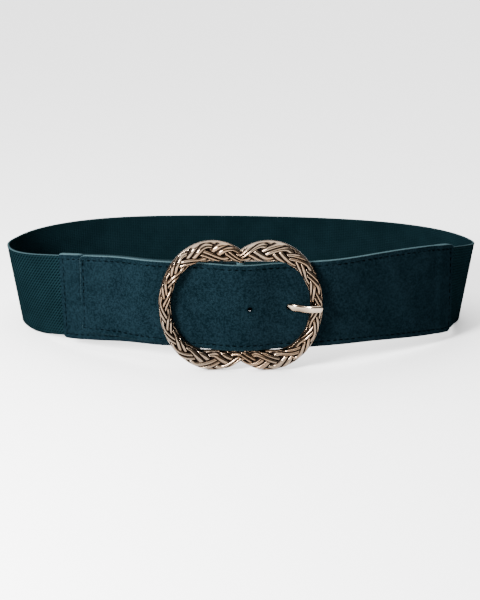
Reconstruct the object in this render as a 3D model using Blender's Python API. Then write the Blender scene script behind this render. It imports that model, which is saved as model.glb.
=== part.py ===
"""Wide elastic belt, fastened into a loop and standing on its lower edges: elastic webbing,
a suede tab and a suede strap with holes, and a cast double-oval buckle with a plaited relief."""

import math

import bpy
import numpy as np

# Driving dimensions, in metres. The front is -Y, the belt's own left end is at -X.
HALF_WIDTH = 0.161
FRONT_DEPTH = 0.092
BACK_DEPTH = 0.076
SIDE_LEAN = math.radians(10)

STRAP_HEIGHT = 0.0593
ELASTIC_HEIGHT = 0.057
ELASTIC_THICK = 0.0015
STRAP_THICK = 0.0022
TAB_THICK = 0.0024
SHEATH_PLY = 0.00105
POCKET_GAP = 0.00025
GAP = 0.0003
EDGE_CHAMFER = 0.00035

TIP_REACH = 0.1123
TIP_HEIGHT = 0.0565
LEFT_REACH = 0.1312
RIGHT_REACH = 0.1625
POCKET_DEPTH = 0.014
SHEATH_BLEND = 0.006
END_ROUNDING = 0.004

BUCKLE_WIDTH = 0.1072
BUCKLE_HEIGHT = 0.0895
LOBE_SPACING = 0.0362
OPENING_WIDTH = 0.0908
OPENING_HEIGHT = 0.0614
OPENING_END = 0.023
FRAME_DOME = 0.0030
FRAME_EDGE = 0.0012
PLAIT_RELIEF = 0.003
STRAND_SWAY = 0.98
STRAND_HALF_WIDTH = 0.5
PLAIT_PERIODS = 6
FRAME_STEPS = 152
FRAME_COURSES = 15

BAR_RADIUS = 0.0015
BAR_BEHIND = 0.0006
EYE_WALL = 0.0012
LUG_WIDTH = 0.005
LUG_HEIGHT = 0.0045

HOLE_SPACING = 0.025
HOLE_DROP = 0.0007
PRONG_PULL = 0.002
PRONG_TILT = 0.0014
SIDE_CLEARANCE = 0.0032
FREE_HOLE_REACH = 0.0058
HOLE_RADIUS = 0.0017
PRONG_HOLE_LENGTH = 0.0064
PRONG_HOLE_WIDTH = 0.004
PRONG_WIDTH = 0.0048
PRONG_NECK = 0.0032
PRONG_THICK = 0.0021
SLOT_HEIGHT = 0.006

# Dependent sizes.
LIFT = BUCKLE_HEIGHT / 2 - ELASTIC_HEIGHT / 2
SHEATH_THICK = ELASTIC_THICK + 2 * POCKET_GAP + 2 * SHEATH_PLY
STRAP_OVER_TAB = TAB_THICK / 2 + GAP + STRAP_THICK / 2
EYE_INNER = BAR_RADIUS + GAP
EYE_OUTER = EYE_INNER + EYE_WALL
PRONG_REACH = BUCKLE_WIDTH / 2 - GAP / 2
BAR_SPAN = OPENING_WIDTH / 3
PRONG_HOLE_REACH = FREE_HOLE_REACH + HOLE_SPACING + PRONG_PULL
TAB_SET_IN = STRAP_OVER_TAB * 0.7
STRAP_AT_BAR = BAR_BEHIND - EYE_OUTER - GAP - STRAP_THICK / 2
STRAP_SAG = (OPENING_HEIGHT - STRAP_HEIGHT) / 2 - GAP

# The loop's sections, from the middle of the front round by the right side. Shares of the half
# width, of the front or back depth, of the lift that the buckle gives, and of the side lean.
LOOP_COLUMNS = ("across", "along", "rise", "lean")
LOOP_ROWS = (
    (0.00, -1.045, 1.00, 0.00),
    (0.40, -0.910, 1.00, 0.00),
    (0.735, -0.620, 0.86, -0.25),
    (0.90, -0.370, 0.58, -0.25),
    (0.94, -0.160, 0.27, 0.40),
    (0.995, -0.016, 0.14, 0.80),
    (1.017, 0.120, 0.00, 0.85),
    (0.93, 0.485, 0.00, 0.65),
    (0.61, 0.855, 0.00, 0.00),
    (-0.015, 1.005, 0.00, 0.00),
    (-0.62, 0.980, 0.00, 0.00),
    (-0.92, 0.575, 0.00, 0.50),
    (-0.99, 0.235, 0.00, 0.60),
    (-1.01, 0.040, 0.08, 0.80),
    (-0.967, -0.180, 0.12, 0.95),
    (-0.855, -0.365, 0.28, 0.45),
    (-0.69, -0.620, 0.68, -0.05),
    (-0.397, -0.900, 1.00, 0.00),
)
SPAN_STEPS = 24


def clear_scene():
    for old in list(bpy.data.objects):
        bpy.data.objects.remove(old)


def blend(value, start, end):
    """0 before start and 1 after end, easing between them."""
    share = np.clip((value - start) / (end - start), 0, 1)
    return share * share * (3 - 2 * share)


def smooth_through(stations, values, at):
    """A smooth line through the values given at rising stations."""
    stations = np.array(stations, float)
    values = np.array(values, float)
    slopes = np.gradient(values, stations)
    slopes[0] = 0
    slopes[-1] = 0
    at = np.clip(at, stations[0], stations[-1])
    row = np.clip(np.searchsorted(stations, at) - 1, 0, len(stations) - 2)
    span = stations[row + 1] - stations[row]
    t = (at - stations[row]) / span
    return (
        (2 * t**3 - 3 * t**2 + 1) * values[row]
        + (t**3 - 2 * t**2 + t) * span * slopes[row]
        + (3 * t**2 - 2 * t**3) * values[row + 1]
        + (t**3 - t**2) * span * slopes[row + 1]
    )


class Loop:
    """The middle line of the belt as a closed curve, measured along from the middle of the front."""

    def __init__(self):
        rows = []
        for across, along, rise, lean in LOOP_ROWS:
            depth = FRONT_DEPTH if along < 0 else BACK_DEPTH
            height = ELASTIC_HEIGHT / 2 + rise * LIFT
            rows.append((across * HALF_WIDTH, along * depth, height, lean * SIDE_LEAN))
        rows = np.array(rows)
        t = (np.arange(SPAN_STEPS) / SPAN_STEPS)[:, None]
        weights = ((1 - t) ** 3, 3 * t**3 - 6 * t**2 + 4, -3 * t**3 + 3 * t**2 + 3 * t + 1, t**3)
        spans = []
        for first in range(len(rows)):
            corners = [rows[(first + step) % len(rows)] for step in (-1, 0, 1, 2)]
            spans.append(sum(w * c for w, c in zip(weights, corners)) / 6)
        points = np.concatenate(spans)
        points = np.concatenate([points, points[:1]])
        steps = np.linalg.norm(np.diff(points[:, :2], axis=0), axis=1)
        self.reach = np.concatenate([[0], np.cumsum(steps)])
        self.points = points
        self.length = self.reach[-1]
        near = np.abs(points[:SPAN_STEPS * 2, 0]).argmin()
        self.middle = self.reach[near]

    def at(self, station):
        """Plan position, height of the middle, lean and outward direction at each station."""
        def read(offset):
            along = np.mod(station + self.middle + offset, self.length)
            return np.stack([np.interp(along, self.reach, c) for c in self.points.T], -1)
        here = read(0)
        ahead = read(0.001) - read(-0.001)
        ahead = ahead[..., :2] / np.linalg.norm(ahead[..., :2], axis=-1, keepdims=True)
        outward = np.stack([ahead[..., 1], -ahead[..., 0]], -1)
        return here, outward

    def place(self, station, out, up):
        """The point that lies out from the middle line and up from it, leaning as the belt does."""
        here, outward = self.at(station)
        lean = here[..., 3]
        side = out * np.cos(lean) + up * np.sin(lean)
        rise = here[..., 2] + up * np.cos(lean) - out * np.sin(lean)
        plan = here[..., :2] + outward * side[..., None]
        return np.concatenate([plan, rise[..., None]], -1)

    def out_to(self, station, y):
        """How far out the line at this station has to be moved to lie at y."""
        here, outward = self.at(station)
        return (y - here[..., 1]) / outward[..., 1]


def corner_cut(distance):
    """How much a rounded corner takes off an edge, this far from the end."""
    inside = np.clip(END_ROUNDING - distance, 0, END_ROUNDING)
    return 0.6 * (END_ROUNDING - np.sqrt(END_ROUNDING**2 - inside**2))


def new_object(name, points, faces, material, parent):
    mesh = bpy.data.meshes.new(name)
    mesh.from_pydata([tuple(p) for p in points], [], faces)
    mesh.update()
    if material:
        mesh.materials.append(material)
    made = bpy.data.objects.new(name, mesh)
    made.parent = parent
    return made


def loft(sections, closed):
    """Points and faces of a skin over closed sections, with its ends capped or joined."""
    count, size = sections.shape[:2]
    points = sections.reshape(-1, 3)
    faces = []
    for i in range(count if closed else count - 1):
        j = (i + 1) % count
        for k in range(size):
            m = (k + 1) % size
            faces.append((i * size + k, i * size + m, j * size + m, j * size + k))
    if not closed:
        faces.append(tuple(reversed(range(size))))
        faces.append(tuple((count - 1) * size + k for k in range(size)))
    volume = 0
    for face in faces:
        for a, b in zip(face[1:-1], face[2:]):
            volume += np.dot(points[face[0]], np.cross(points[a], points[b]))
    if volume < 0:
        faces = [tuple(reversed(face)) for face in faces]
    return points, faces


def band(stations, middle, half_thick, low, high, chamfer, loop):
    """A strip along the loop; middle is how far out it lies, low and high are its two edges."""
    stations = np.asarray(stations, float)
    middle, half, low, high = (np.broadcast_to(v, stations.shape) for v in (middle, half_thick, low, high))
    corners = (
        (1, 0, -1), (1, -1, 0), (-1, -1, 0), (-1, 0, -1),
    )
    rings = []
    for side_out, in_from_face, in_from_edge in corners:
        out = middle + side_out * (half + in_from_face * chamfer)
        rings.append(loop.place(stations, out, high + in_from_edge * chamfer))
    for side_out, in_from_face, in_from_edge in reversed(corners):
        out = middle + side_out * (half + in_from_face * chamfer)
        rings.append(loop.place(stations, out, low - in_from_edge * chamfer))
    return loft(np.stack(rings, 1), False)


def box(low, high):
    x0, y0, z0 = low
    x1, y1, z1 = high
    ring = [(x0, y0), (x1, y0), (x1, y1), (x0, y1)]
    return loft(np.array([[(x, y, z) for x, y in ring] for z in (z0, z1)]), False)


def upright_round(centre, radius, low, high, steps, stretch=0.0):
    """An upright rod; stretch pulls its section out to an oblong along X."""
    ring = []
    for turn in np.arange(steps) * 2 * math.pi / steps + math.pi / steps:
        x = radius * math.cos(turn)
        ring.append((centre[0] + x + math.copysign(stretch / 2, x), centre[1] + radius * math.sin(turn)))
    return loft(np.array([[(x, y, z) for x, y in ring] for z in (low, high)]), False)


def hole_cutter(centre, radius, length, aim, depth, steps):
    """A level rod through the strap at centre, aimed outward; length makes it an oblong."""
    across = np.array([-aim[1], aim[0], 0])
    forward = np.array([aim[0], aim[1], 0])
    ring = []
    for turn in np.arange(steps) * 2 * math.pi / steps + math.pi / steps:
        side = radius * math.cos(turn)
        side += math.copysign(length / 2 - radius, side)
        ring.append(centre + across * side + np.array([0, 0, radius * math.sin(turn)]))
    ring = np.array(ring)
    return loft(np.stack([ring - forward * depth, ring + forward * depth]), False)


def cut(target, cutter):
    step = target.modifiers.new("cut_" + cutter.name, "BOOLEAN")
    step.operation = "DIFFERENCE"
    step.solver = "EXACT"
    step.object = cutter


def join(target, other):
    step = target.modifiers.new("join_" + other.name, "BOOLEAN")
    step.operation = "UNION"
    step.solver = "EXACT"
    step.object = other


def oval_reach(turn, half_width, half_height, offset):
    """How far the outline of two side by side ovals lies from their middle, in each direction."""
    near = np.zeros_like(turn)
    far = np.full_like(turn, 0.2)
    for _ in range(50):
        reach = (near + far) / 2
        x = np.abs(reach * np.cos(turn))
        y = np.abs(reach * np.sin(turn))
        inside = ((x - offset) / (half_width - offset)) ** 2 + (y / half_height) ** 2 < 1
        near = np.where(inside, reach, near)
        far = np.where(inside, far, reach)
    return near


def opening_reach(turn):
    """The same for the opening: straight above and below, with oval ends."""
    straight = OPENING_WIDTH / 2 - OPENING_END
    near = np.zeros_like(turn)
    far = np.full_like(turn, 0.2)
    for _ in range(50):
        reach = (near + far) / 2
        x = np.maximum(np.abs(reach * np.cos(turn)) - straight, 0) / OPENING_END
        y = np.abs(reach * np.sin(turn)) / (OPENING_HEIGHT / 2)
        inside = x**2 + y**2 < 1
        near = np.where(inside, reach, near)
        far = np.where(inside, far, reach)
    return near


def plait_height(along, across):
    """Height of three plaited strands, 0 to 1; along counts repeats, across runs -1 to 1."""
    highest = np.zeros(np.broadcast(along, across).shape)
    for strand in range(3):
        phase = 2 * math.pi * (along + strand / 3)
        line = STRAND_SWAY * np.arcsin(0.96 * np.sin(phase)) / math.asin(0.96)
        away = np.abs(across - line) / STRAND_HALF_WIDTH
        body = 0.45 * np.sqrt(np.clip(1 - away**2, 0, 1))
        over = 0.55 * (0.5 - 0.5 * np.sin(2 * phase))
        highest = np.maximum(highest, body + over * np.clip(3 - 3 * away, 0, 1))
    return highest


def frame_skin(back, middle_height):
    """The casting as a skin of sections: a domed, plaited front over a flat back."""
    fine = np.linspace(0, 2 * math.pi, 2881)
    offset = LOBE_SPACING / 2
    size = (BUCKLE_WIDTH / 2, BUCKLE_HEIGHT / 2, offset)
    centre = (oval_reach(fine, *size) + opening_reach(fine)) / 2
    line = np.stack([centre * np.cos(fine), centre * np.sin(fine)], -1)
    reach = np.concatenate([[0], np.cumsum(np.linalg.norm(np.diff(line, axis=0), axis=1))])
    quarter = FRAME_STEPS // 4
    turns = []
    for corner in range(4):
        start, end = (np.interp(q * math.pi / 2, fine, reach) for q in (corner, corner + 1))
        turns.append(np.interp(start + (end - start) * np.arange(quarter) / quarter, reach, fine))
    turn = np.concatenate(turns)
    inner = opening_reach(turn)
    outer = oval_reach(turn, *size)
    share = (np.arange(FRAME_COURSES) / (FRAME_COURSES - 1))[None, :]
    across = 2 * share - 1
    along = (np.arange(len(turn)) / len(turn) * PLAIT_PERIODS)[:, None]
    dome = FRAME_EDGE + FRAME_DOME * (1 - np.abs(across) ** 2.6) ** 0.6
    relief = PLAIT_RELIEF * (plait_height(along, across) - 0.35) * (1 - np.abs(across) ** 6)
    radius = inner[:, None] + (outer - inner)[:, None] * share
    x = radius * np.cos(turn)[:, None]
    z = radius * np.sin(turn)[:, None]
    front = np.stack([x, back - dome - relief, z + middle_height], -1)
    edges = front[:, [-1, 0]].copy()
    edges[..., 1] = back
    return loft(np.concatenate([front, edges], 1), True)


def prong_skin(rows, level, tilt_from, steps=10):
    """A bar of rounded sections along a bent line; rows hold x, y, width and thickness."""
    rows = np.array(rows)
    heights = level + PRONG_TILT * blend(rows[:, 0], tilt_from, PRONG_REACH)
    ahead = np.gradient(rows[:, :2], axis=0)
    ahead /= np.linalg.norm(ahead, axis=1, keepdims=True)
    sections = []
    for (x, y, width, thick), (dx, dy), height in zip(rows, ahead, heights):
        ring = []
        for turn in np.arange(steps) * 2 * math.pi / steps + math.pi / steps:
            side = thick / 2 * math.copysign(abs(math.cos(turn)) ** 0.7, math.cos(turn))
            up = width / 2 * math.copysign(abs(math.sin(turn)) ** 0.7, math.sin(turn))
            ring.append((x + dy * side, y - dx * side, height + up))
        sections.append(ring)
    return loft(np.array(sections), False)


def plain_material(name, colour, metallic, roughness):
    material = bpy.data.materials.new(name)
    material.use_nodes = True
    shader = material.node_tree.nodes["Principled BSDF"]
    shader.inputs["Base Color"].default_value = (*colour, 1)
    shader.inputs["Metallic"].default_value = metallic
    shader.inputs["Roughness"].default_value = roughness
    return material


def main():
    clear_scene()
    parts = bpy.data.collections.new("elastic_stretch_belt")
    helpers = bpy.data.collections.new("cutters")
    bpy.context.scene.collection.children.link(parts)
    bpy.context.scene.collection.children.link(helpers)
    belt = bpy.data.objects.new("belt", None)
    parts.objects.link(belt)
    suede = plain_material("suede", (0.012, 0.045, 0.062), 0.0, 0.9)
    elastic = plain_material("elastic_webbing", (0.010, 0.040, 0.044), 0.0, 0.85)
    metal = plain_material("antique_gold", (0.62, 0.42, 0.31), 1.0, 0.35)
    loop = Loop()

    def part(name, skin, material):
        made = new_object(name, *skin, material, belt)
        parts.objects.link(made)
        return made

    def helper(name, skin):
        made = new_object(name, *skin, None, belt)
        made.hide_render = True
        made.display_type = "WIRE"
        helpers.objects.link(made)
        return made

    middle = BUCKLE_HEIGHT / 2
    side_station = BUCKLE_WIDTH / 2 + GAP
    corner_station = OPENING_WIDTH / 2 - 0.8 * OPENING_END
    corner_y = loop.at(np.array(corner_station))[0][1]
    back = float(corner_y) - STRAP_THICK / 2 - GAP

    # The strap comes over the bar, goes behind the frame's sides and lies over the tab.
    behind = {
        0.0: STRAP_AT_BAR,
        corner_station: STRAP_THICK / 2 + 1.4 * GAP,
        side_station: STRAP_THICK / 2 + SIDE_CLEARANCE,
    }
    knots = {}
    for station, depth in behind.items():
        for side in (-1, 1):
            knots[side * station] = float(loop.out_to(np.array(side * station), back + depth))
    knots[-TIP_REACH - POCKET_DEPTH / 2] = STRAP_OVER_TAB
    knots[-TIP_REACH * 0.75] = STRAP_OVER_TAB - TAB_SET_IN
    for station in (RIGHT_REACH * 0.62, RIGHT_REACH + POCKET_DEPTH):
        knots[station] = 0.0
    strap_line = sorted(knots.items())

    def strap_out(station):
        return smooth_through(*zip(*strap_line), station)

    # In the opening the strap has settled as low as it can.
    def sag(station):
        return STRAP_SAG * (1 - blend(np.abs(station), PRONG_HOLE_REACH, side_station))

    fine = BAR_SPAN * np.linspace(-1, 1, 61)
    stations = np.concatenate([
        -TIP_REACH + np.linspace(0, END_ROUNDING, 5)[:-1],
        np.linspace(-TIP_REACH + END_ROUNDING, -BAR_SPAN, 24)[:-1],
        fine,
        np.linspace(BAR_SPAN, RIGHT_REACH - POCKET_DEPTH - SHEATH_BLEND, 26)[1:],
        np.linspace(RIGHT_REACH - POCKET_DEPTH - SHEATH_BLEND, RIGHT_REACH - END_ROUNDING, 8)[1:],
        RIGHT_REACH - np.linspace(END_ROUNDING, 0, 5)[1:],
    ])
    swell = blend(stations, RIGHT_REACH - POCKET_DEPTH - SHEATH_BLEND, RIGHT_REACH - POCKET_DEPTH)
    half = (STRAP_THICK + (SHEATH_THICK - STRAP_THICK) * swell) / 2
    toward_tip = blend(-stations, OPENING_WIDTH * 2 / 3, TIP_REACH)
    round_off = corner_cut(np.minimum(stations + TIP_REACH, RIGHT_REACH - stations))
    low = -STRAP_HEIGHT / 2 + (STRAP_HEIGHT - TIP_HEIGHT) * toward_tip + round_off - sag(stations)
    high = np.where(stations < 0, STRAP_HEIGHT / 2 - round_off, STRAP_HEIGHT / 2) - sag(stations)
    skin = band(stations, strap_out(stations), half, low, high, EDGE_CHAMFER, loop)
    strap = part("hole_strap", skin, suede)

    pocket_height = ELASTIC_HEIGHT / 2 + POCKET_GAP
    pocket_half = ELASTIC_THICK / 2 + POCKET_GAP
    pocket = np.linspace(RIGHT_REACH - POCKET_DEPTH, RIGHT_REACH + POCKET_DEPTH / 3, 12)
    cut(strap, helper("right_pocket", band(pocket, 0, pocket_half, -pocket_height, pocket_height, 0, loop)))
    for name, station, radius, length in (
        ("free_hole", FREE_HOLE_REACH, HOLE_RADIUS, 2 * HOLE_RADIUS),
        ("prong_hole", PRONG_HOLE_REACH, PRONG_HOLE_WIDTH / 2, PRONG_HOLE_LENGTH),
    ):
        spot = np.array(station)
        centre = loop.place(spot, strap_out(spot), -HOLE_DROP - sag(spot))
        aim = loop.at(spot)[1]
        cut(strap, helper(name, hole_cutter(centre, radius, length, aim, 2 * STRAP_THICK, 20)))

    # The tab: folded round the bar, it runs left behind the strap to its sheath.
    eye = (0.0, back + BAR_BEHIND)
    fold_out = float(loop.out_to(np.array(0.0), eye[1]) - strap_out(np.array(0.0))) + STRAP_OVER_TAB
    stations = np.concatenate([
        -LEFT_REACH + np.linspace(0, END_ROUNDING, 5)[:-1],
        np.linspace(-LEFT_REACH + END_ROUNDING, -LEFT_REACH + POCKET_DEPTH + SHEATH_BLEND, 8)[:-1],
        np.linspace(-LEFT_REACH + POCKET_DEPTH + SHEATH_BLEND, -BAR_SPAN, 26)[:-1],
        np.linspace(-BAR_SPAN, 0, 16),
    ])
    swell = blend(-stations, LEFT_REACH - POCKET_DEPTH - SHEATH_BLEND, LEFT_REACH - POCKET_DEPTH)
    half = (TAB_THICK + (SHEATH_THICK - TAB_THICK) * swell) / 2
    out = strap_out(stations) - STRAP_OVER_TAB + fold_out * (1 - blend(-stations, 0, corner_station))
    low = -STRAP_HEIGHT / 2 + corner_cut(stations + LEFT_REACH)
    skin = band(stations, out, half, low, STRAP_HEIGHT / 2, EDGE_CHAMFER, loop)
    tab = part("buckle_tab", skin, suede)
    prong_level = middle - HOLE_DROP - STRAP_SAG
    low, high = middle - STRAP_HEIGHT / 2, middle + STRAP_HEIGHT / 2
    join(tab, helper("tab_fold", upright_round(eye, EYE_OUTER, low, high, 20)))
    cut(tab, helper("bar_room", upright_round(eye, EYE_INNER, low - EYE_OUTER, high + EYE_OUTER, 20)))
    slot_ends = (prong_level - SLOT_HEIGHT / 2, prong_level + SLOT_HEIGHT / 2)
    reach = 2 * EYE_OUTER
    slot = box((-0.85 * reach, eye[1] - reach, slot_ends[0]), (reach, eye[1] + reach, slot_ends[1]))
    cut(tab, helper("prong_slot", slot))
    pocket = np.linspace(-LEFT_REACH - POCKET_DEPTH / 3, -LEFT_REACH + POCKET_DEPTH, 12)
    cut(tab, helper("left_pocket", band(pocket, 0, pocket_half, -pocket_height, pocket_height, 0, loop)))

    # The webbing, from inside one sheath round the back to inside the other.
    start = RIGHT_REACH - POCKET_DEPTH + POCKET_GAP
    end = loop.length - LEFT_REACH + POCKET_DEPTH - POCKET_GAP
    stations = np.linspace(start, end, 132)
    half_height = ELASTIC_HEIGHT / 2
    skin = band(stations, 0, ELASTIC_THICK / 2, -half_height, half_height, ELASTIC_THICK / 8, loop)
    part("elastic_band", skin, elastic)

    # The casting, with its bar and the two lugs that hold it.
    frame = part("buckle_frame", frame_skin(back, middle), metal)
    rim = OPENING_HEIGHT / 2
    reach = rim + LUG_HEIGHT
    bar = upright_round(eye, BAR_RADIUS, middle - reach + BAR_RADIUS, middle + reach - BAR_RADIUS, 16)
    join(frame, helper("centre_bar", bar))
    for name, side in (("upper_lug", 1), ("lower_lug", -1)):
        ends = sorted((middle + side * (rim + GAP), middle + side * reach))
        lug_back = eye[1] + BAR_RADIUS + GAP
        lug = box((-LUG_WIDTH / 2, back - FRAME_EDGE / 2, ends[0]), (LUG_WIDTH / 2, lug_back, ends[1]))
        join(frame, helper(name, lug))

    # The prong: a ring on the bar and a shank that comes up through the strap's hole.
    hole_x, hole_y = loop.place(np.array(PRONG_HOLE_REACH), strap_out(np.array(PRONG_HOLE_REACH)), np.array(0.0))[:2]
    ring_outer = EYE_OUTER - GAP / 2
    rest = back - FRAME_EDGE - FRAME_DOME - PLAIT_RELIEF * 0.6 - GAP - PRONG_THICK / 2
    under = hole_y + STRAP_THICK / 2 + GAP + PRONG_THICK / 2
    ring_back = eye[1] + ring_outer - PRONG_THICK / 2
    run = OPENING_WIDTH / 2 - hole_x
    climb = hole_y - rest
    rows = (
        (0.0, ring_back, PRONG_WIDTH, PRONG_THICK),
        (2 * ring_outer, ring_back, PRONG_WIDTH, PRONG_THICK),
        (hole_x - 1.9 * PRONG_WIDTH, under + GAP, PRONG_WIDTH, PRONG_THICK),
        (hole_x - 0.94 * PRONG_WIDTH, under, 0.8 * PRONG_WIDTH, PRONG_THICK),
        (hole_x - 1.05 * PRONG_THICK, hole_y + 0.9 * PRONG_THICK, PRONG_NECK, PRONG_THICK),
        (hole_x, hole_y, PRONG_NECK, PRONG_THICK),
        (hole_x + 0.17 * run, hole_y - 0.20 * climb, PRONG_NECK, PRONG_THICK),
        (hole_x + 0.38 * run, hole_y - 0.42 * climb, 0.86 * PRONG_WIDTH, PRONG_THICK),
        (hole_x + 0.72 * run, hole_y - 0.76 * climb, PRONG_WIDTH, PRONG_THICK),
        (hole_x + 1.10 * run, rest + GAP / 2, PRONG_WIDTH, PRONG_THICK),
        (PRONG_REACH - 1.9 * PRONG_THICK, rest, PRONG_WIDTH, PRONG_THICK),
        (PRONG_REACH - 0.5 * PRONG_THICK, rest, 0.9 * PRONG_WIDTH, 0.9 * PRONG_THICK),
        (PRONG_REACH, rest, 0.6 * PRONG_WIDTH, 0.5 * PRONG_THICK),
    )
    prong = part("prong", prong_skin(rows, prong_level, hole_x), metal)
    low, high = prong_level - PRONG_WIDTH / 2, prong_level + PRONG_WIDTH / 2
    join(prong, helper("prong_ring", upright_round(eye, ring_outer, low, high, 20)))
    cut(prong, helper("ring_room", upright_round(eye, BAR_RADIUS + POCKET_GAP, low - EYE_OUTER, high + EYE_OUTER, 20)))

    # The origin goes to the middle of the box's floor.
    points = np.concatenate([[v.co for v in made.data.vertices] for made in parts.objects if made.type == "MESH"])
    least, most = points.min(0), points.max(0)
    belt.location = (-(least[0] + most[0]) / 2, -(least[1] + most[1]) / 2, -least[2])


main()
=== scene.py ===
"""Looks of a wide elastic belt, standing fastened: napped suede ends with rows of stitches, ribbed
webbing, and a cast double-oval buckle whose plait is raised from its dark ground."""

import math

import bpy
import numpy as np
from bpy.props import (
    FloatProperty,
    FloatVectorProperty,
    IntProperty,
    PointerProperty,
)
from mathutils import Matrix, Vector


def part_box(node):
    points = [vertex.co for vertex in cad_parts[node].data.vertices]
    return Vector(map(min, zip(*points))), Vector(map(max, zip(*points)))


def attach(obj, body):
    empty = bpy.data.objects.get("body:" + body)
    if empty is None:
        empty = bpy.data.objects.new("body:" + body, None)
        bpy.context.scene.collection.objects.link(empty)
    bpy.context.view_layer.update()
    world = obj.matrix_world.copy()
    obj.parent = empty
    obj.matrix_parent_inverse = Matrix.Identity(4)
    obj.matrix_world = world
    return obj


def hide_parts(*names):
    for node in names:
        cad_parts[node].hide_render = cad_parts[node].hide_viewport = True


bl_info = {
    "name": "Elastic stretch belt",
    "version": (1, 0, 0),
    "blender": (4, 5, 0),
    "location": "View3D > Sidebar > Belt",
    "description": "Builds the suede, webbing, stitches and plaited buckle of a wide elastic belt",
    "category": "Add Mesh",
}

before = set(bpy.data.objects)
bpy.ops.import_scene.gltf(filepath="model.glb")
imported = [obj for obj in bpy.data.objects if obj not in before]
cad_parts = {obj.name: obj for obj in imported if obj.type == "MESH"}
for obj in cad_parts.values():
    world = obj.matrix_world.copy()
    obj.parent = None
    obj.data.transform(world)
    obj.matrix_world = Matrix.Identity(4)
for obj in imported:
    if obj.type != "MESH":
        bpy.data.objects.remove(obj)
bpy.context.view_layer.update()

MM = 0.001

# The loop's sections, from the middle of the front round by the right side: shares of the half
# width, of the front or back depth, of the lift that the buckle gives, and of the side lean.
LOOP_ROWS = (
    # across, along, rise, lean
    (0.00, -1.045, 1.00, 0.00),
    (0.40, -0.910, 1.00, 0.00),
    (0.735, -0.620, 0.86, -0.25),
    (0.90, -0.370, 0.58, -0.25),
    (0.94, -0.160, 0.27, 0.40),
    (0.995, -0.016, 0.14, 0.80),
    (1.017, 0.120, 0.00, 0.85),
    (0.93, 0.485, 0.00, 0.65),
    (0.61, 0.855, 0.00, 0.00),
    (-0.015, 1.005, 0.00, 0.00),
    (-0.62, 0.980, 0.00, 0.00),
    (-0.92, 0.575, 0.00, 0.50),
    (-0.99, 0.235, 0.00, 0.60),
    (-1.01, 0.040, 0.08, 0.80),
    (-0.967, -0.180, 0.12, 0.95),
    (-0.855, -0.365, 0.28, 0.45),
    (-0.69, -0.620, 0.68, -0.05),
    (-0.397, -0.900, 1.00, 0.00),
)

# Soft waves in the suede: shares of the wave's depth, then how many there are along the strap and
# up it, and where each starts.
WAVE_ROWS = (
    # depth, along, up, start
    (1.00, 5.0, 0.45, 0.8),
    (0.60, 8.5, 1.10, 2.1),
    (0.45, 13.0, 0.70, 4.4),
    (0.30, 21.0, 1.60, 5.2),
)

# How finely the curved pieces are cut up.
SPAN_STEPS = 24  # points of the loop between two rows of its table
SOLID_SECTIONS = 132  # sections of the webbing's solid
EDGE_STEPS = 8  # steps round a cut edge of the cloth
ROD_SIDES = 32
RING_SIDES = 36
PRONG_SIDES = 24
PRONG_STEPS = 90
FRAME_STEPS = 1152  # sections of the casting, round its opening
FRAME_COURSES = 62  # points across its front
OUTLINE_STEPS = 2881  # points on the outlines that the sections are spaced along
SUEDE_STEP = (1.6 * MM, 1.7 * MM)  # along the strap and up it
WEBBING_STEP = (2.0 * MM, 1.5 * MM)
SEAM_STEP = 1.5 * MM

# Where a seam's groove has points, in halves of its width, and a cut end, in radii of its edge.
SEAM_SPREAD = np.array([-1.4, -0.9, -0.5, -0.2, 0, 0.2, 0.5, 0.9, 1.4])
END_SPREAD = np.array([0, 0.3, 0.6, 1.0])

SUEDE_EDGE = 0.4 * MM  # radius of a cut suede edge
WEBBING_EDGE = 0.35 * MM
THIN_EDGE = 0.10 * MM  # how much thinner suede and webbing are, or firmer, at their edges
LOWER_RIM_PAINTED_SHADE = 0.2  # how pale a lower cut edge is, as a share of an upper one: painted shade, the lower edge is drawn darker as if shaded
CORNER_DEPTH = 0.6  # how deep a rounded corner cuts in, as a share of its radius

FARTHEST = 0.2  # further out than any edge of the buckle
HALVINGS = 50

STRANDS = 3
CORD_PLACE = 0.47  # how far a strand's two cords lie from its line, in halves of its width
BORDER_PLACE = 0.93  # how far out the smooth border lies, in halves of the casting's width
BORDER_HALF = 0.075  # half of the border's width, in the same measure
PLAIT_ZERO = 0.42  # the height in the plait that lies level with the plain casting
PLAIN_SHINE = 0.62  # how worn the casting's plain back and walls are

SHARP_ANGLE = math.radians(50)  # edges that turn by more than this stay sharp
BAR_SHARP_ANGLE = math.radians(40)
BAR_BEVEL = 0.3 * MM
BEHIND_DROP = 0.5 * MM  # how much lower the prong's shank runs behind the strap
TIP_ROUNDING = 1.2 * MM

KEY_PLACE = Vector((-0.55, -0.62, 0.42))
KEY_AIM = Vector((0.0, -0.05, 0.04))
TOP_TURN = (math.radians(20), 0, math.radians(-140))
TOP_SPREAD = math.radians(90)
SENSOR = 36.0

FLOOR_GREY = 0.92
FLOOR = {"Roughness": 0.9, "Specular IOR Level": 0.1}
MATT = {"Roughness": 0.95, "Specular IOR Level": 0.0}
THREAD = {"Roughness": 0.9, "Specular IOR Level": 0.0}
THREAD_TWIST = 2600.0  # turns of the thread's pattern per metre
THREAD_PAINTED_HIGHLIGHT = 1.6  # painted highlight: how much lighter the thread is drawn where its bump is raised
FRAME_SHINE = (0.36, 0.84)  # the plait is dark below the first height and bright above the second
PRONG_SHINE = (0.2, 0.5)
BAR_RUBBED = 0.4


def length(name, text, default):
    """A length that the user can change, in metres."""
    return FloatProperty(name=name, description=text, default=default, unit="LENGTH", precision=5)


def share(name, text, default, top=1.0):
    """A plain number that the user can change."""
    return FloatProperty(name=name, description=text, default=default, min=0.0, max=top)


def colour(name, text, default):
    """A colour that the user can change."""
    return FloatVectorProperty(
        name=name, description=text, default=default, subtype="COLOR", size=3, min=0.0, max=1.0
    )


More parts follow.
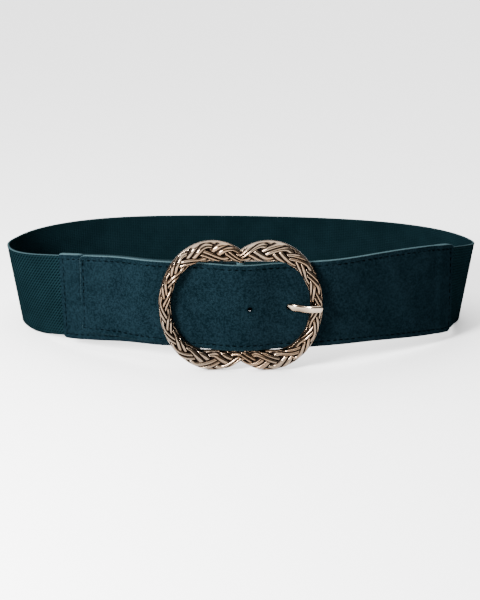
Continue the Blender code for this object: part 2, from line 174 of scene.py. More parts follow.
class LoopSizes(bpy.types.PropertyGroup):
    """The closed loop and the two materials that run round it."""

    half_width: length("Half width", "Half of the loop's width", 0.161)
    front_depth: length("Front depth", "From the widest place to the front", 0.092)
    back_depth: length("Back depth", "From the widest place to the back", 0.076)
    side_lean: FloatProperty(
        name="Side lean",
        description="How far the sides lean out at the top",
        default=math.radians(10),
        subtype="ANGLE",
    )
    elastic_height: length("Webbing height", "Width of the webbing", 0.057)
    elastic_thick: length("Webbing thickness", "Thickness of the webbing", 0.0015)
    side_drop: length("Side drop", "How far the webbing's lower edge hangs at the sides", 0.0028)
    rib_pitch: length("Rib pitch", "From one rib of the webbing's back to the next", 0.0013)
    rib_depth: length("Rib depth", "How deep those ribs are", 0.00011)
    selvedge: length("Selvedge", "How wide the webbing's firm edge is", 0.0022)


class SuedeSizes(bpy.types.PropertyGroup):
    """The strap with the holes, the tab that holds the buckle, and their seams."""

    strap_height: length("Strap height", "Width of the suede strap", 0.0593)
    strap_thick: length("Strap thickness", "Two plies of suede", 0.0022)
    tab_thick: length("Tab thickness", "The tab's two plies", 0.0024)
    ply: length("Sheath ply", "One ply of suede over the webbing", 0.00105)
    pocket_gap: length("Pocket room", "Air between a ply and the webbing", 0.00025)
    gap: length("Gap", "Air between pieces that touch", 0.0003)
    right_drop: length("Right drop", "How much lower the strap reaches over the webbing", 0.0031)
    right_rise: length("Right rise", "How much higher it reaches there", 0.0013)
    right_rounding: length("Right rounding", "Radius of the strap's corners at its raw end", 0.0065)
    left_lift: length("Left lift", "How much the lower edge rises left of the buckle", 0.0026)
    tab_drop: length("Tab drop", "How much lower the tab reaches at its left end", 0.0016)
    tip_reach: length("Tip reach", "From the buckle's middle to the strap's tip", 0.1123)
    tip_height: length("Tip height", "Width of the strap at its tip", 0.0565)
    left_reach: length("Left reach", "From the buckle's middle to the tab's raw end", 0.1312)
    right_reach: length("Right reach", "From the buckle's middle to the strap's raw end", 0.1625)
    pocket_depth: length("Pocket depth", "How far the webbing goes into the suede", 0.014)
    sheath_blend: length("Sheath blend", "Over how long the sheath swells", 0.006)
    end_rounding: length("End rounding", "Radius of the suede's corners", 0.004)
    hole_spacing: length("Hole spacing", "From one hole to the next", 0.025)
    hole_drop: length("Hole drop", "How far the holes lie below the middle", 0.0007)
    free_hole_reach: length("Free hole reach", "From the middle to the empty hole", 0.0058)
    hole_radius: length("Hole radius", "Radius of the empty hole", 0.0017)
    prong_pull: length("Prong pull", "How far the prong has pulled its hole", 0.002)
    prong_hole_length: length("Prong hole length", "Length of the pulled hole", 0.0064)
    prong_hole_width: length("Prong hole width", "Width of the pulled hole", 0.004)
    side_clearance: length("Side clearance", "Air behind the buckle's two sides", 0.0032)
    wave_depth: length("Wave depth", "Depth of the suede's soft waves", 0.00016)
    stitch_inset: length("Stitch inset", "From a suede edge to its seam", 0.0034)
    tip_inset: length("Tip inset", "From the strap's tip to its seam", 0.0024)
    stitch_pitch: length("Stitch pitch", "From one stitch to the next", 0.0045)
    stitch_length: length("Stitch length", "Length of a stitch that shows", 0.0029)
    stitch_width: length("Thread width", "Width of the sewing thread", 0.00062)
    seam_depth: length("Seam depth", "How far the thread pulls the suede in", 0.00032)
    seam_width: length("Seam width", "Width of the seam's groove", 0.0011)


class BuckleSizes(bpy.types.PropertyGroup):
    """The casting and its prong."""

    width: length("Width", "Across both ovals", 0.1072)
    height: length("Height", "Height of each oval", 0.0895)
    lobe_spacing: length("Oval spacing", "From one oval's middle to the other's", 0.0362)
    opening_width: length("Opening width", "Width of the opening", 0.0908)
    opening_height: length("Opening height", "Height of the opening", 0.0614)
    opening_end: length("Opening end", "How long the opening's rounded ends are", 0.023)
    dome: length("Dome", "Rise of the casting's front", 0.0030)
    edge: length("Edge", "Height of the casting's outer edge", 0.0012)
    relief: length("Relief", "Height of the raised plait", 0.003)
    sway: share("Sway", "How far a strand swings across the casting", 0.92)
    strand_width: share("Strand width", "Half of a strand's width", 0.60)
    cord_width: share("Cord width", "Half of a cord's width, as a share of the strand's", 0.39)
    sharpness: share("Sharpness", "How sharply a strand turns at the casting's edge", 0.93)
    rim: share("Rim", "Height of the casting's smooth border", 0.5)
    repeats: IntProperty(name="Repeats", description="Repeats of the plait", default=6, min=1)
    bar_radius: length("Bar radius", "Radius of the middle bar", 0.0015)
    bar_behind: length("Bar depth", "How far the bar lies behind the casting's back", 0.0006)
    eye_wall: length("Eye wall", "Thickness of the fold round the bar", 0.0012)
    lug_width: length("Lug width", "Width of the two lugs that hold the bar", 0.005)
    lug_height: length("Lug height", "How far the lugs reach over the casting", 0.0045)
    slot_height: length("Slot height", "Height of the tab's slot for the prong", 0.006)
    prong_width: length("Prong width", "Width of the prong", 0.0048)
    prong_neck: length("Prong neck", "Width where it passes its hole", 0.0032)
    prong_thick: length("Prong thickness", "Thickness of the prong", 0.0021)
    prong_tilt: length("Prong tilt", "How much higher the prong's tip lies", 0.0014)


class BeltColours(bpy.types.PropertyGroup):
    """Colours of the finishes."""

    suede: colour("Suede", "The nap seen straight on", (0.0008, 0.0027, 0.0038))
    suede_light: colour("Suede, brushed", "Where the nap is brushed up", (0.0033, 0.0082, 0.0112))
    raw_edge: colour("Raw edge", "Cut edges of the suede and the webbing", (0.028, 0.050, 0.056))
    webbing: colour("Webbing", "The webbing's yarn", (0.0002, 0.0009, 0.0012))
    webbing_light: colour("Webbing, raised", "Where a yarn comes up", (0.0029, 0.0088, 0.0110))
    thread: colour("Thread", "Sewing thread", (0.0002, 0.0006, 0.0008))
    gold: colour("Gold", "Worn tops of the plait", (0.165, 0.123, 0.088))
    warm_gold: colour("Warm gold", "Where the gold has a rosy cast", (0.165, 0.108, 0.068))
    pale_gold: colour("Pale gold", "The polished prong", (0.32, 0.255, 0.195))
    patina: colour("Patina", "Dark ground between the strands", (0.0040, 0.0015, 0.0007))


class StageSizes(bpy.types.PropertyGroup):
    """Camera, floor and lights."""

    camera_distance: length("Camera distance", "From the loop's middle", 0.988)
    camera_height: length("Camera height", "Above the floor", 0.374)
    camera_side: length("Camera side", "To the right of the middle", -0.00085)
    camera_tilt: FloatProperty(
        name="Camera tilt", description="Up from straight down", default=math.radians(70.3),
        subtype="ANGLE",
    )
    lens: FloatProperty(name="Lens", description="Focal length on a 36 mm sensor", default=88.8)
    floor_size: length("Floor size", "Side of the floor", 80.0)
    key_light: share("Key light", "Watts of the near soft light at the left", 42.0, 200.0)
    key_size: length("Key size", "Side of that light", 0.24)
    top_light: share("Top light", "Strength of the soft light overhead", 8.5, 50.0)
    sky: share("Sky", "Strength of the even light", 0.35, 5.0)


def blend(value, start, end):
    """0 before start and 1 after end, easing between them."""
    part = np.clip((value - start) / (end - start), 0, 1)
    return part * part * (3 - 2 * part)


def smooth_through(stations, values, at):
    """A smooth line through the values given at rising stations."""
    stations = np.array(stations, float)
    values = np.array(values, float)
    slopes = np.gradient(values, stations)
    slopes[0] = 0
    slopes[-1] = 0
    at = np.clip(at, stations[0], stations[-1])
    row = np.clip(np.searchsorted(stations, at) - 1, 0, len(stations) - 2)
    span = stations[row + 1] - stations[row]
    t = (at - stations[row]) / span
    return (
        (2 * t**3 - 3 * t**2 + 1) * values[row]
        + (t**3 - 2 * t**2 + t) * span * slopes[row]
        + (3 * t**2 - 2 * t**3) * values[row + 1]
        + (t**3 - t**2) * span * slopes[row + 1]
    )


class Loop:
    """The belt's middle line as a closed curve, measured along from the middle of the front."""

    def __init__(self, sizes, buckle):
        lift = buckle.height / 2 - sizes.elastic_height / 2
        rows = []
        for across, along, rise, lean in LOOP_ROWS:
            depth = sizes.front_depth if along < 0 else sizes.back_depth
            height = sizes.elastic_height / 2 + rise * lift
            rows.append((across * sizes.half_width, along * depth, height, lean * sizes.side_lean))
        rows = np.array(rows)
        t = (np.arange(SPAN_STEPS) / SPAN_STEPS)[:, None]
        weights = ((1 - t) ** 3, 3 * t**3 - 6 * t**2 + 4, -3 * t**3 + 3 * t**2 + 3 * t + 1, t**3)
        spans = []
        for first in range(len(rows)):
            corners = [rows[(first + step) % len(rows)] for step in (-1, 0, 1, 2)]
            spans.append(sum(w * c for w, c in zip(weights, corners)) / 6)
        points = np.concatenate(spans)
        points = np.concatenate([points, points[:1]])
        steps = np.linalg.norm(np.diff(points[:, :2], axis=0), axis=1)
        self.reach = np.concatenate([[0], np.cumsum(steps)])
        self.points = points
        self.length = self.reach[-1]
        self.middle = self.reach[np.abs(points[: SPAN_STEPS * 2, 0]).argmin()]

    def at(self, station):
        """Plan position, height of the middle, lean and outward direction at each station."""

        def read(offset):
            along = np.mod(station + self.middle + offset, self.length)
            return np.stack([np.interp(along, self.reach, c) for c in self.points.T], -1)

        here = read(0)
        ahead = read(MM) - read(-MM)
        ahead = ahead[..., :2] / np.linalg.norm(ahead[..., :2], axis=-1, keepdims=True)
        return here, np.stack([ahead[..., 1], -ahead[..., 0]], -1)

    def place(self, station, out, up):
        """The point that lies out from the middle line and up from it, leaning as the belt does."""
        here, outward = self.at(station)
        lean = here[..., 3]
        side = out * np.cos(lean) + up * np.sin(lean)
        rise = here[..., 2] + up * np.cos(lean) - out * np.sin(lean)
        plan = here[..., :2] + outward * side[..., None]
        return np.concatenate([plan, rise[..., None]], -1)

    def facing(self, station):
        """The way the belt's outer face looks at each station."""
        here, outward = self.at(station)
        lean = here[..., 3]
        return np.concatenate([outward * np.cos(lean)[..., None], -np.sin(lean)[..., None]], -1)

    def out_to(self, station, y):
        """How far out the line at this station has to be moved to lie at y."""
        here, outward = self.at(station)
        return (y - here[..., 1]) / outward[..., 1]


class Layout:
    """Where each piece lies, worked out from the sizes as the solids are."""

    def __init__(self, scene):
        self.loop_sizes = scene.belt_loop
        self.suede = scene.belt_suede
        self.buckle = scene.belt_buckle
        sizes, suede, buckle = self.loop_sizes, self.suede, self.buckle
        self.loop = Loop(sizes, buckle)
        self.sheath_thick = sizes.elastic_thick + 2 * suede.pocket_gap + 2 * suede.ply
        self.over_tab = suede.tab_thick / 2 + suede.gap + suede.strap_thick / 2
        self.eye_inner = buckle.bar_radius + suede.gap
        self.eye_outer = self.eye_inner + buckle.eye_wall
        self.corner_station = buckle.opening_width / 2 - 0.8 * buckle.opening_end
        side_station = buckle.width / 2 + suede.gap
        corner_y = float(self.loop.at(np.array(self.corner_station))[0][1])
        self.back = corner_y - suede.strap_thick / 2 - suede.gap
        self.middle = buckle.height / 2
        self.eye = (0.0, self.back + buckle.bar_behind)
        strap_at_bar = buckle.bar_behind - self.eye_outer - suede.gap - suede.strap_thick / 2
        behind = {
            0.0: strap_at_bar,
            self.corner_station: suede.strap_thick / 2 + 1.4 * suede.gap,
            side_station: suede.strap_thick / 2 + suede.side_clearance,
        }
        knots = {}
        for station, depth in behind.items():
            for side in (-1, 1):
                out = self.loop.out_to(np.array(side * station), self.back + depth)
                knots[side * station] = float(out)
        # At the left the strap climbs over the tab; at the right it comes back to the loop's line.
        knots[-suede.tip_reach - suede.pocket_depth / 2] = self.over_tab
        knots[-suede.tip_reach * 0.75] = 0.3 * self.over_tab
        for station in (suede.right_reach * 0.62, suede.right_reach + suede.pocket_depth):
            knots[station] = 0.0
        self.strap_line = sorted(knots.items())
        self.side_station = side_station
        self.strap_sag = (buckle.opening_height - suede.strap_height) / 2 - suede.gap
        self.prong_hole_reach = suede.free_hole_reach + suede.hole_spacing + suede.prong_pull
        self.prong_level = self.middle - suede.hole_drop - self.strap_sag
        fold = float(self.loop.out_to(np.array(0.0), self.eye[1]) - self.strap_out(np.array(0.0)))
        self.fold_out = fold + self.over_tab
        self.elastic_start = suede.right_reach - suede.pocket_depth + suede.pocket_gap
        left_mouth = self.loop.length - suede.left_reach
        self.elastic_end = left_mouth + suede.pocket_depth - suede.pocket_gap
        self.shift = self.to_solids()

    def to_solids(self):
        """From the loop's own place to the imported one, read off the webbing's solid."""
        sizes = self.loop_sizes
        stations = np.linspace(self.elastic_start, self.elastic_end, SOLID_SECTIONS)
        chamfer = sizes.elastic_thick / 8
        corners = []
        for side in (-1, 1):
            for end in (-1, 1):
                up = end * (sizes.elastic_height / 2 - chamfer)
                corners.append(self.loop.place(stations, side * sizes.elastic_thick / 2, up))
        corners = np.concatenate(corners)
        low, high = (np.array(corner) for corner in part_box("elastic_band"))
        shift = (low + high) / 2 - (corners.min(0) + corners.max(0)) / 2
        shift[2] = high[2] - corners[:, 2].max()
        return shift

    def strap_out(self, station):
        """How far out the strap's middle lies."""
        return smooth_through(*zip(*self.strap_line), station)

    def sag(self, station):
        """How far the strap has settled down inside the opening."""
        away = blend(np.abs(station), self.prong_hole_reach, self.side_station)
        return self.strap_sag * (1 - away)

    def tab_out(self, station):
        """How far out the tab's middle lies."""
        fold = self.fold_out * (1 - blend(-station, 0, self.corner_station))
        return self.strap_out(station) - self.over_tab + fold

    def strap_half(self, station):
        """Half of the strap's thickness, which swells over the webbing."""
        suede = self.suede
        end = suede.right_reach - suede.pocket_depth
        swell = blend(station, end - suede.sheath_blend, end)
        return (suede.strap_thick + (self.sheath_thick - suede.strap_thick) * swell) / 2

    def tab_half(self, station):
        """Half of the tab's thickness, which swells over the webbing."""
        suede = self.suede
        end = suede.left_reach - suede.pocket_depth
        swell = blend(-station, end - suede.sheath_blend, end)
        return (suede.tab_thick + (self.sheath_thick - suede.tab_thick) * swell) / 2

    def strap_edges(self, station):
        """Lower and upper edge of the strap, measured from its middle line."""
        suede = self.suede
        half = suede.strap_height / 2
        taper_start = self.buckle.opening_width * 2 / 3
        lift_start = 0.62 * self.side_station
        widest = 0.85 * suede.right_reach
        toward_tip = blend(-station, taper_start, suede.tip_reach)
        lifted = blend(-station, lift_start, self.side_station) * (1 - 0.4 * toward_tip)
        wider = blend(station, self.side_station, widest)
        tip_cut = corner_cut(station + suede.tip_reach, suede.end_rounding)
        right_cut = corner_cut(suede.right_reach - station, suede.right_rounding)
        low = -half + (suede.strap_height - suede.tip_height) * toward_tip
        low = low + suede.left_lift * lifted
        low, high = low + tip_cut + right_cut, half - tip_cut - 0.45 * right_cut
        low, high = low - suede.right_drop * wider, high + suede.right_rise * wider
        return low - self.sag(station), high - self.sag(station)

    def tab_edges(self, station):
        """Lower and upper edge of the tab, which hangs lower toward its left end."""
        suede = self.suede
        half = suede.strap_height / 2
        deepest, level = -0.95 * suede.tip_reach, -0.5 * suede.tip_reach
        deeper = 1 - blend(station, deepest, level)
        low = -half + corner_cut(station + suede.left_reach, suede.end_rounding)
        return low - suede.tab_drop * deeper, half + 0 * station

    def side_drop(self, station):
        """How far the webbing's lower edge hangs below its plain height where the belt is lifted.

        It hangs half as far inside the tab, and nowhere down to the floor."""
        sizes, suede = self.loop_sizes, self.suede
        half_round = self.loop.length / 2
        turned = np.mod(station + half_round, self.loop.length) - half_round
        past_tab = blend(-turned, suede.left_reach, suede.left_reach + 2 * suede.pocket_depth)
        most = sizes.side_drop * np.where(turned > 0, 1, 0.5 + 0.5 * past_tab)
        room = self.loop.at(station)[0][..., 2] - sizes.elastic_height / 2
        return np.clip(0.9 * room, 0, most)


def corner_cut(distance, radius):
    """How much a rounded corner takes off an edge, this far from the end."""
    inside = np.clip(radius - distance, 0, radius)
    return CORNER_DEPTH * (radius - np.sqrt(radius**2 - inside**2))


def new_piece(name, points, faces, material, shift, smooth=True):
    """A mesh object with its place in its mesh."""
    mesh = bpy.data.meshes.new(name)
    mesh.from_pydata((np.asarray(points) + shift).tolist(), [], faces)
    mesh.update()
    if material:
        mesh.materials.append(material)
    mesh.polygons.foreach_set("use_smooth", np.full(len(mesh.polygons), smooth))
    made = bpy.data.objects.new(name, mesh)
    bpy.context.scene.collection.objects.link(made)
    return made


def point_values(piece, name, values):
    """Stores a number at each point of the mesh, for its material or its node tree."""
    attribute = piece.data.attributes.new(name, "FLOAT", "POINT")
    attribute.data.foreach_set("value", np.asarray(values, np.float32).ravel())


def surface_map(piece, along, up):
    """A UV map in metres: along the belt and up it."""
    corners = np.zeros(len(piece.data.loops), np.int32)
    piece.data.loops.foreach_get("vertex_index", corners)
    pairs = np.stack([np.ravel(along)[corners], np.ravel(up)[corners]], -1)
    layer = piece.data.uv_layers.new(name="along_and_up")
    layer.uv.foreach_set("vector", pairs.astype(np.float32).ravel())


def skin_faces(count, size, closed):
    """Faces of a skin over count rings of size points; flat ends are closed by strips of quads."""
    rings = np.arange(count if closed else count - 1)[:, None]
    here = np.arange(size)[None, :]
    after = (here + 1) % size
    first_of, next_of = rings * size, (rings + 1) % count * size
    corners = (first_of + here, first_of + after, next_of + after, next_of + here)
    quads = np.stack(corners, -1).reshape(-1, 4)
    if closed:
        return quads
    strip = np.arange(size // 2 - 1)
    first = np.stack([strip + 1, strip, size - 1 - strip, size - 2 - strip], -1)
    last = first[:, ::-1] + (count - 1) * size
    return np.concatenate([quads, first, last])


def outward(points, quads, caps=()):
    """The quads and the end caps, turned round if they pointed into the body."""
    a, b, c, d = (points[quads[:, k]] for k in range(4))
    volume = (a * (np.cross(b, c) + np.cross(c, d))).sum()
    faces = quads.tolist() + [cap.tolist() for cap in caps]
    return faces if volume > 0 else [face[::-1] for face in faces]


def ribbon(name, layout, stations, faces_up, place, relief, soft, material, edge_pale_and_painted_shade=1.0):
    """A strip along the loop with soft cut edges.

    faces_up holds the shares of the height at which the outer and the inner face have points;
    place gives the middle, half thickness and the two edges at each station; relief gives how far
    a point of the outer or inner face stands proud; the last argument gives how pale the cut edge
    is, and where it is below one the dimmer edge is painted shade."""
    middle, half, low, high = (np.broadcast_to(v, stations.shape)[:, None] for v in place(stations))
    outer_shares, inner_shares = faces_up
    turn = np.linspace(0, math.pi, EDGE_STEPS)[1:-1][None, :]
    round_up = soft * np.sin(turn) ** 0.8
    round_out = np.sign(np.cos(turn)) * np.abs(np.cos(turn)) ** 0.55
    inner_low, inner_high = low + soft, high - soft
    along = stations[:, None]
    rings_out, rings_up, inside, rim = [], [], [], []

    def add(out, up, is_inside, pale):
        out, up = np.broadcast_arrays(out, up)
        rings_out.append(out)
        rings_up.append(up)
        inside.append(np.full(up.shape, float(is_inside)))
        rim.append(np.full(up.shape, float(pale)))

    up = inner_low + (inner_high - inner_low) * outer_shares[None, :]
    add(middle + half + relief(along, up, False), up, False, 0)
    add(middle + half * round_out, inner_high + round_up, False, 1)
    up = inner_low + (inner_high - inner_low) * inner_shares[None, ::-1]
    add(middle - half - relief(along, up, True), up, True, 0)
    # The lower cut edge gets only part of the raw edge's paleness: painted shade under the edge.
    add(middle - half * round_out, inner_low - round_up, True, LOWER_RIM_PAINTED_SHADE)
    out, up = (np.concatenate(v, 1) for v in (rings_out, rings_up))
    inside, rim = (np.concatenate(v, 1) for v in (inside, rim))
    near_end = np.minimum(stations - stations[0], stations[-1] - stations)[:, None]
    end = 1 - blend(near_end, 0, soft)
    out = middle + (out - middle) * (1 - 0.35 * end)
    # Cut ends are pale raw edges; where the multiplier is below one, the dimmer edge is painted
    # shade.
    rim = np.maximum(rim, end) * edge_pale_and_painted_shade
    points = layout.loop.place(np.broadcast_to(along, up.shape), out, up)
    size = up.shape[1]
    flat = points.reshape(-1, 3)
    # The end strips join the outer face to the inner one, so the ring starts half way round
    # its upper edge.
    roll = -(len(outer_shares) + turn.shape[1] // 2)
    order = np.roll(np.arange(size), roll)
    index = (np.arange(len(stations))[:, None] * size + order[None, :]).ravel()
    if len(outer_shares) == len(inner_shares):
        faces = outward(flat, index[skin_faces(len(stations), size, False)])
    else:
        walls = (len(stations) - 1) * size
        caps = (np.arange(size)[::-1], walls + np.arange(size))
        faces = outward(flat, skin_faces(len(stations), size, True)[:walls], caps)
    made = new_piece(name, flat, faces, material, layout.shift)
    surface_map(made, np.broadcast_to(along, up.shape), up)
    point_values(made, "inside", inside)
    point_values(made, "rim", rim)
    return made


def even_turns(steps):
    """Angles evenly round a circle, none of them on an axis."""
    return np.arange(steps) * 2 * math.pi / steps + math.pi / steps


def upright_round(centre, radius, low, high, steps):
    """Points and faces of an upright rod, closed at its ends."""
    turn = even_turns(steps)
    ring = np.stack([centre[0] + radius * np.cos(turn), centre[1] + radius * np.sin(turn)], -1)
    return prism(ring, low, high)


def prism(ring, low, high):
    """Points and faces of an upright prism over a ring of plan points."""
    points = [(x, y, z) for z in (low, high) for x, y in ring]
    area = sum(x0 * y1 - x1 * y0 for (x0, y0), (x1, y1) in zip(ring, np.roll(ring, -1, 0)))
    return np.array(points), rod_faces(len(ring), area < 0)


def rod_faces(count, mirrored):
    """Faces of a rod between two rings of points; mirrored says that the rings run clockwise."""
    faces = [(k, (k + 1) % count, count + (k + 1) % count, count + k) for k in range(count)]
    faces.append(tuple(reversed(range(count))))
    faces.append(tuple(range(count, 2 * count)))
    return [tuple(reversed(face)) for face in faces] if mirrored else faces


def level_rod(centre, radius, across, aim, depth, steps):
    """Points and faces of a rod through the strap, aimed outward; across makes it an oblong."""
    sideways = np.array([-aim[1], aim[0], 0])
    forward = np.array([aim[0], aim[1], 0])
    turn = even_turns(steps)
    side = radius * np.cos(turn)
    side = side + np.sign(side) * (across / 2 - radius)
    ring = centre + side[:, None] * sideways + radius * np.sin(turn)[:, None] * np.array([0, 0, 1])
    points = np.concatenate([ring - forward * depth, ring + forward * depth])
    first, second = ring[0] - centre, ring[1] - centre
    return points, rod_faces(steps, np.dot(np.cross(first, second), forward) < 0)


def carve(piece, shapes, operation, shift):
    """Cuts rods and boxes out of a piece, or joins them to it, and keeps the result as its mesh."""
    helpers = []
    for points, faces in shapes:
        helper = new_piece("helper", points, faces, None, shift, smooth=False)
        for material in piece.data.materials:
            helper.data.materials.append(material)
        step = piece.modifiers.new("step", "BOOLEAN")
        step.operation = operation
        step.solver = "EXACT"
        step.object = helper
        helpers.append(helper)
    keep_result(piece)
    for helper in helpers:
        bpy.data.objects.remove(helper)


def keep_result(piece):
    """Turns what the piece's modifiers make into its plain mesh."""
    bpy.context.view_layer.update()
    seen = piece.evaluated_get(bpy.context.evaluated_depsgraph_get())
    mesh = bpy.data.meshes.new_from_object(seen)
    mesh.name = piece.name
    piece.modifiers.clear()
    piece.data = mesh


def spaced(low, high, step):
    """Evenly spaced values from low to high, at most step apart."""
    return np.linspace(low, high, max(2, int(math.ceil((high - low) / step)) + 1))


def rows_with_seams(height, soft, seams, width, step):
    """Shares of a face's height at which it has points, closer together across each seam."""
    usable = height - 2 * soft
    values = [spaced(0, usable, step)]
    for seam in seams:
        near = seam - soft + width * SEAM_SPREAD
        values = [v[(v < near[0] - step / 3) | (v > near[-1] + step / 3)] for v in values] + [near]
    rows = np.sort(np.concatenate(values)) / usable
    return rows[(rows >= 0) & (rows <= 1)]


def stations_with_seams(start, end, step, seams, width, soft):
    """Stations from start to end, closer together at the cut ends and across each seam."""
    values = spaced(start, end, step)
    extra = [start + soft * END_SPREAD, end - soft * END_SPREAD[::-1]]
    extra += [seam + width * SEAM_SPREAD for seam in seams]
    for near in extra:
        values = values[(values < near.min() - step / 3) | (values > near.max() + step / 3)]
    return np.sort(np.concatenate([values, *extra]))


class Value:
    """A number that a node tree works out; sums and products of it add the nodes."""

    def __init__(self, tree, socket):
        self.tree = tree
        self.socket = socket

    def math(self, operation, *others, clamp=False):
        """The result of one of Blender's math nodes on this value and the others."""
        node = self.tree.nodes.new("ShaderNodeMath")
        node.operation = operation
        node.use_clamp = clamp
        for slot, value in zip(node.inputs, (self, *others)):
            feed(self.tree, slot, value)
        return Value(self.tree, node.outputs[0])

    def __add__(self, other):
        return self.math("ADD", other)

    __radd__ = __add__

    def __sub__(self, other):
        return self.math("SUBTRACT", other)

    def __rsub__(self, other):
        return (self * -1).math("ADD", other)

    def __mul__(self, other):
        return self.math("MULTIPLY", other)

    __rmul__ = __mul__

    def __truediv__(self, other):
        return self.math("DIVIDE", other)

    def wave(self):
        """A cosine of this angle, between 0 and 1."""
        return self.math("COSINE") * 0.5 + 0.5

    def eased(self, start, end):
        """0 below start, 1 above end, easing between."""
        node = self.tree.nodes.new("ShaderNodeMapRange")
        node.interpolation_type = "SMOOTHSTEP"
        for slot, value in zip(("Value", "From Min", "From Max"), (self, start, end)):
            feed(self.tree, node.inputs[slot], value)
        return Value(self.tree, node.outputs["Result"])


def feed(tree, slot, value):
    """Links a worked-out value to a socket, or writes a plain one into it."""
    if isinstance(value, Value):
        tree.links.new(value.socket, slot)
    elif isinstance(value, bpy.types.NodeSocket):
        tree.links.new(value, slot)
    else:
        slot.default_value = value


def add_node(tree, kind, settings=None, **inputs):
    """A node with its settings and its inputs; an input's name has _ for each space."""
    node = tree.nodes.new(kind)
    for name, value in (settings or {}).items():
        setattr(node, name, value)
    for name, value in inputs.items():
        feed(tree, node.inputs[name.replace("_", " ")], value)
    return node


def noise(tree, where, scale, detail=2.0, roughness=0.5, distortion=0.0):
    """Soft noise between 0 and 1; scale is in spots per metre."""
    node = add_node(
        tree, "ShaderNodeTexNoise", Vector=where, Scale=scale, Detail=detail, Roughness=roughness,
        Distortion=distortion,
    )
    return Value(tree, node.outputs["Fac"])


def mixed(tree, amount, first, second):
    """A colour between two, by amount."""
    node = tree.nodes.new("ShaderNodeMix")
    node.data_type = "RGBA"
    feed(tree, node.inputs[0], amount)
    feed(tree, node.inputs[6], first)
    feed(tree, node.inputs[7], second)
    return node.outputs[2]


def attribute(tree, name):
    """A number that the mesh carries at its points."""
    node = add_node(tree, "ShaderNodeAttribute", {"attribute_name": name})
    return Value(tree, node.outputs["Fac"])


def new_group(name, kind, inputs, outputs):
    """A node group with named inputs and outputs, and its two end nodes."""
    tree = bpy.data.node_groups.new(name, kind)
    for label, socket, default in inputs:
        made = tree.interface.new_socket(label, in_out="INPUT", socket_type=socket)
        if default is not None:
            made.default_value = default
    for label, socket in outputs:
        tree.interface.new_socket(label, in_out="OUTPUT", socket_type=socket)
    return tree, tree.nodes.new("NodeGroupInput"), tree.nodes.new("NodeGroupOutput")


NUMBER = "NodeSocketFloat"
COLOUR = "NodeSocketColor"
VECTOR = "NodeSocketVector"
GEOMETRY = "NodeSocketGeometry"
MATERIAL = "NodeSocketMaterial"


def suede_group():
    """Nap: mottled patches where it is brushed up, fine fibres, and lighter cut edges."""
    tree, given, result = new_group(
        "suede_nap",
        "ShaderNodeTree",
        [
            ("Place", VECTOR, None),
            ("Base", COLOUR, (0, 0, 0, 1)),
            ("Brushed", COLOUR, (0, 0, 0, 1)),
            ("Edge", COLOUR, (0, 0, 0, 1)),
            ("Rim", NUMBER, 0.0),
            ("Pressed", NUMBER, 0.0),
            ("Patch Scale", NUMBER, 70.0),
            ("Fibre Scale", NUMBER, 850.0),
        ],
        [("Color", COLOUR), ("Height", NUMBER)],
    )
    place = given.outputs["Place"]
    patches = Value(tree, given.outputs["Patch Scale"])
    broad = noise(tree, place, patches, 4.0, 0.6, 0.6)
    mottle = noise(tree, place, patches * 5.0, 3.0, 0.6)
    fibre = noise(tree, place, Value(tree, given.outputs["Fibre Scale"]), 2.0, 0.6)
    clouds = broad.eased(0.38, 0.66) * 0.22 + mottle.eased(0.38, 0.66) * 0.18
    brushed = clouds + fibre.eased(0.40, 0.60) * 0.55
    brushed = brushed * (1 - Value(tree, given.outputs["Pressed"]))
    nap = mixed(tree, brushed, given.outputs["Base"], given.outputs["Brushed"])
    # How much of the pale raw-edge colour shows; where the rim value was lowered, this is painted
    # shade.
    edge_pale_and_painted_shade = Value(tree, given.outputs["Rim"]) * (fibre.eased(0.2, 0.6) * 0.35 + 0.65)
    feed(tree, result.inputs["Color"], mixed(tree, edge_pale_and_painted_shade, nap, given.outputs["Edge"]))
    feed(tree, result.inputs["Height"], fibre * 0.7 + mottle * 0.5)
    return tree


def webbing_group():
    """Dotted twill on the outer face, and the yarns that cross the ribs on the inner one."""
    tree, given, result = new_group(
        "webbing_twill",
        "ShaderNodeTree",
        [
            ("Along And Up", VECTOR, None),
            ("Yarn", COLOUR, (0, 0, 0, 1)),
            ("Raised", COLOUR, (0, 0, 0, 1)),
            ("Edge", COLOUR, (0, 0, 0, 1)),
            ("Inside", NUMBER, 0.0),
            ("Rim", NUMBER, 0.0),
            ("Dot Pitch", NUMBER, 0.0028),
            ("Course Pitch", NUMBER, 0.0020),
            ("Rib Pitch", NUMBER, 0.0013),
        ],
        [("Color", COLOUR), ("Height", NUMBER)],
    )
    split = add_node(tree, "ShaderNodeSeparateXYZ", Vector=given.outputs["Along And Up"])
    along, up = (Value(tree, split.outputs[k]) for k in (0, 1))
    full = 2 * math.pi
    pitch = Value(tree, given.outputs["Dot Pitch"])
    twill = ((along - up) * full / pitch).wave()
    courses = (up * full / Value(tree, given.outputs["Course Pitch"])).wave()
    outer = 1 - twill.eased(0.12, 0.65) * (courses.eased(0.1, 0.7) * 0.60 + 0.40)
    ribs = (up * full / Value(tree, given.outputs["Rib Pitch"])).wave()
    yarns = (along * full / pitch * 1.6).math("SINE") * 0.5 + 0.5
    inner = ribs * (yarns * 0.3 + 0.7)
    inside = Value(tree, given.outputs["Inside"])
    raised = outer * (1 - inside) + (inner * 0.28 + 0.48) * inside
    uneven = noise(tree, given.outputs["Along And Up"], 55.0, 3.0, 0.6).eased(0.3, 0.7) * 0.3 + 0.7
    yarn = mixed(tree, raised * uneven, given.outputs["Yarn"], given.outputs["Raised"])
    # The rim value carries the pale edge, and on the lower edge painted shade.
    rim = Value(tree, given.outputs["Rim"]) * 0.6
    feed(tree, result.inputs["Color"], mixed(tree, rim, yarn, given.outputs["Edge"]))
    feed(tree, result.inputs["Height"], outer * (1 - inside) + yarns * inside * 0.4)
    return tree


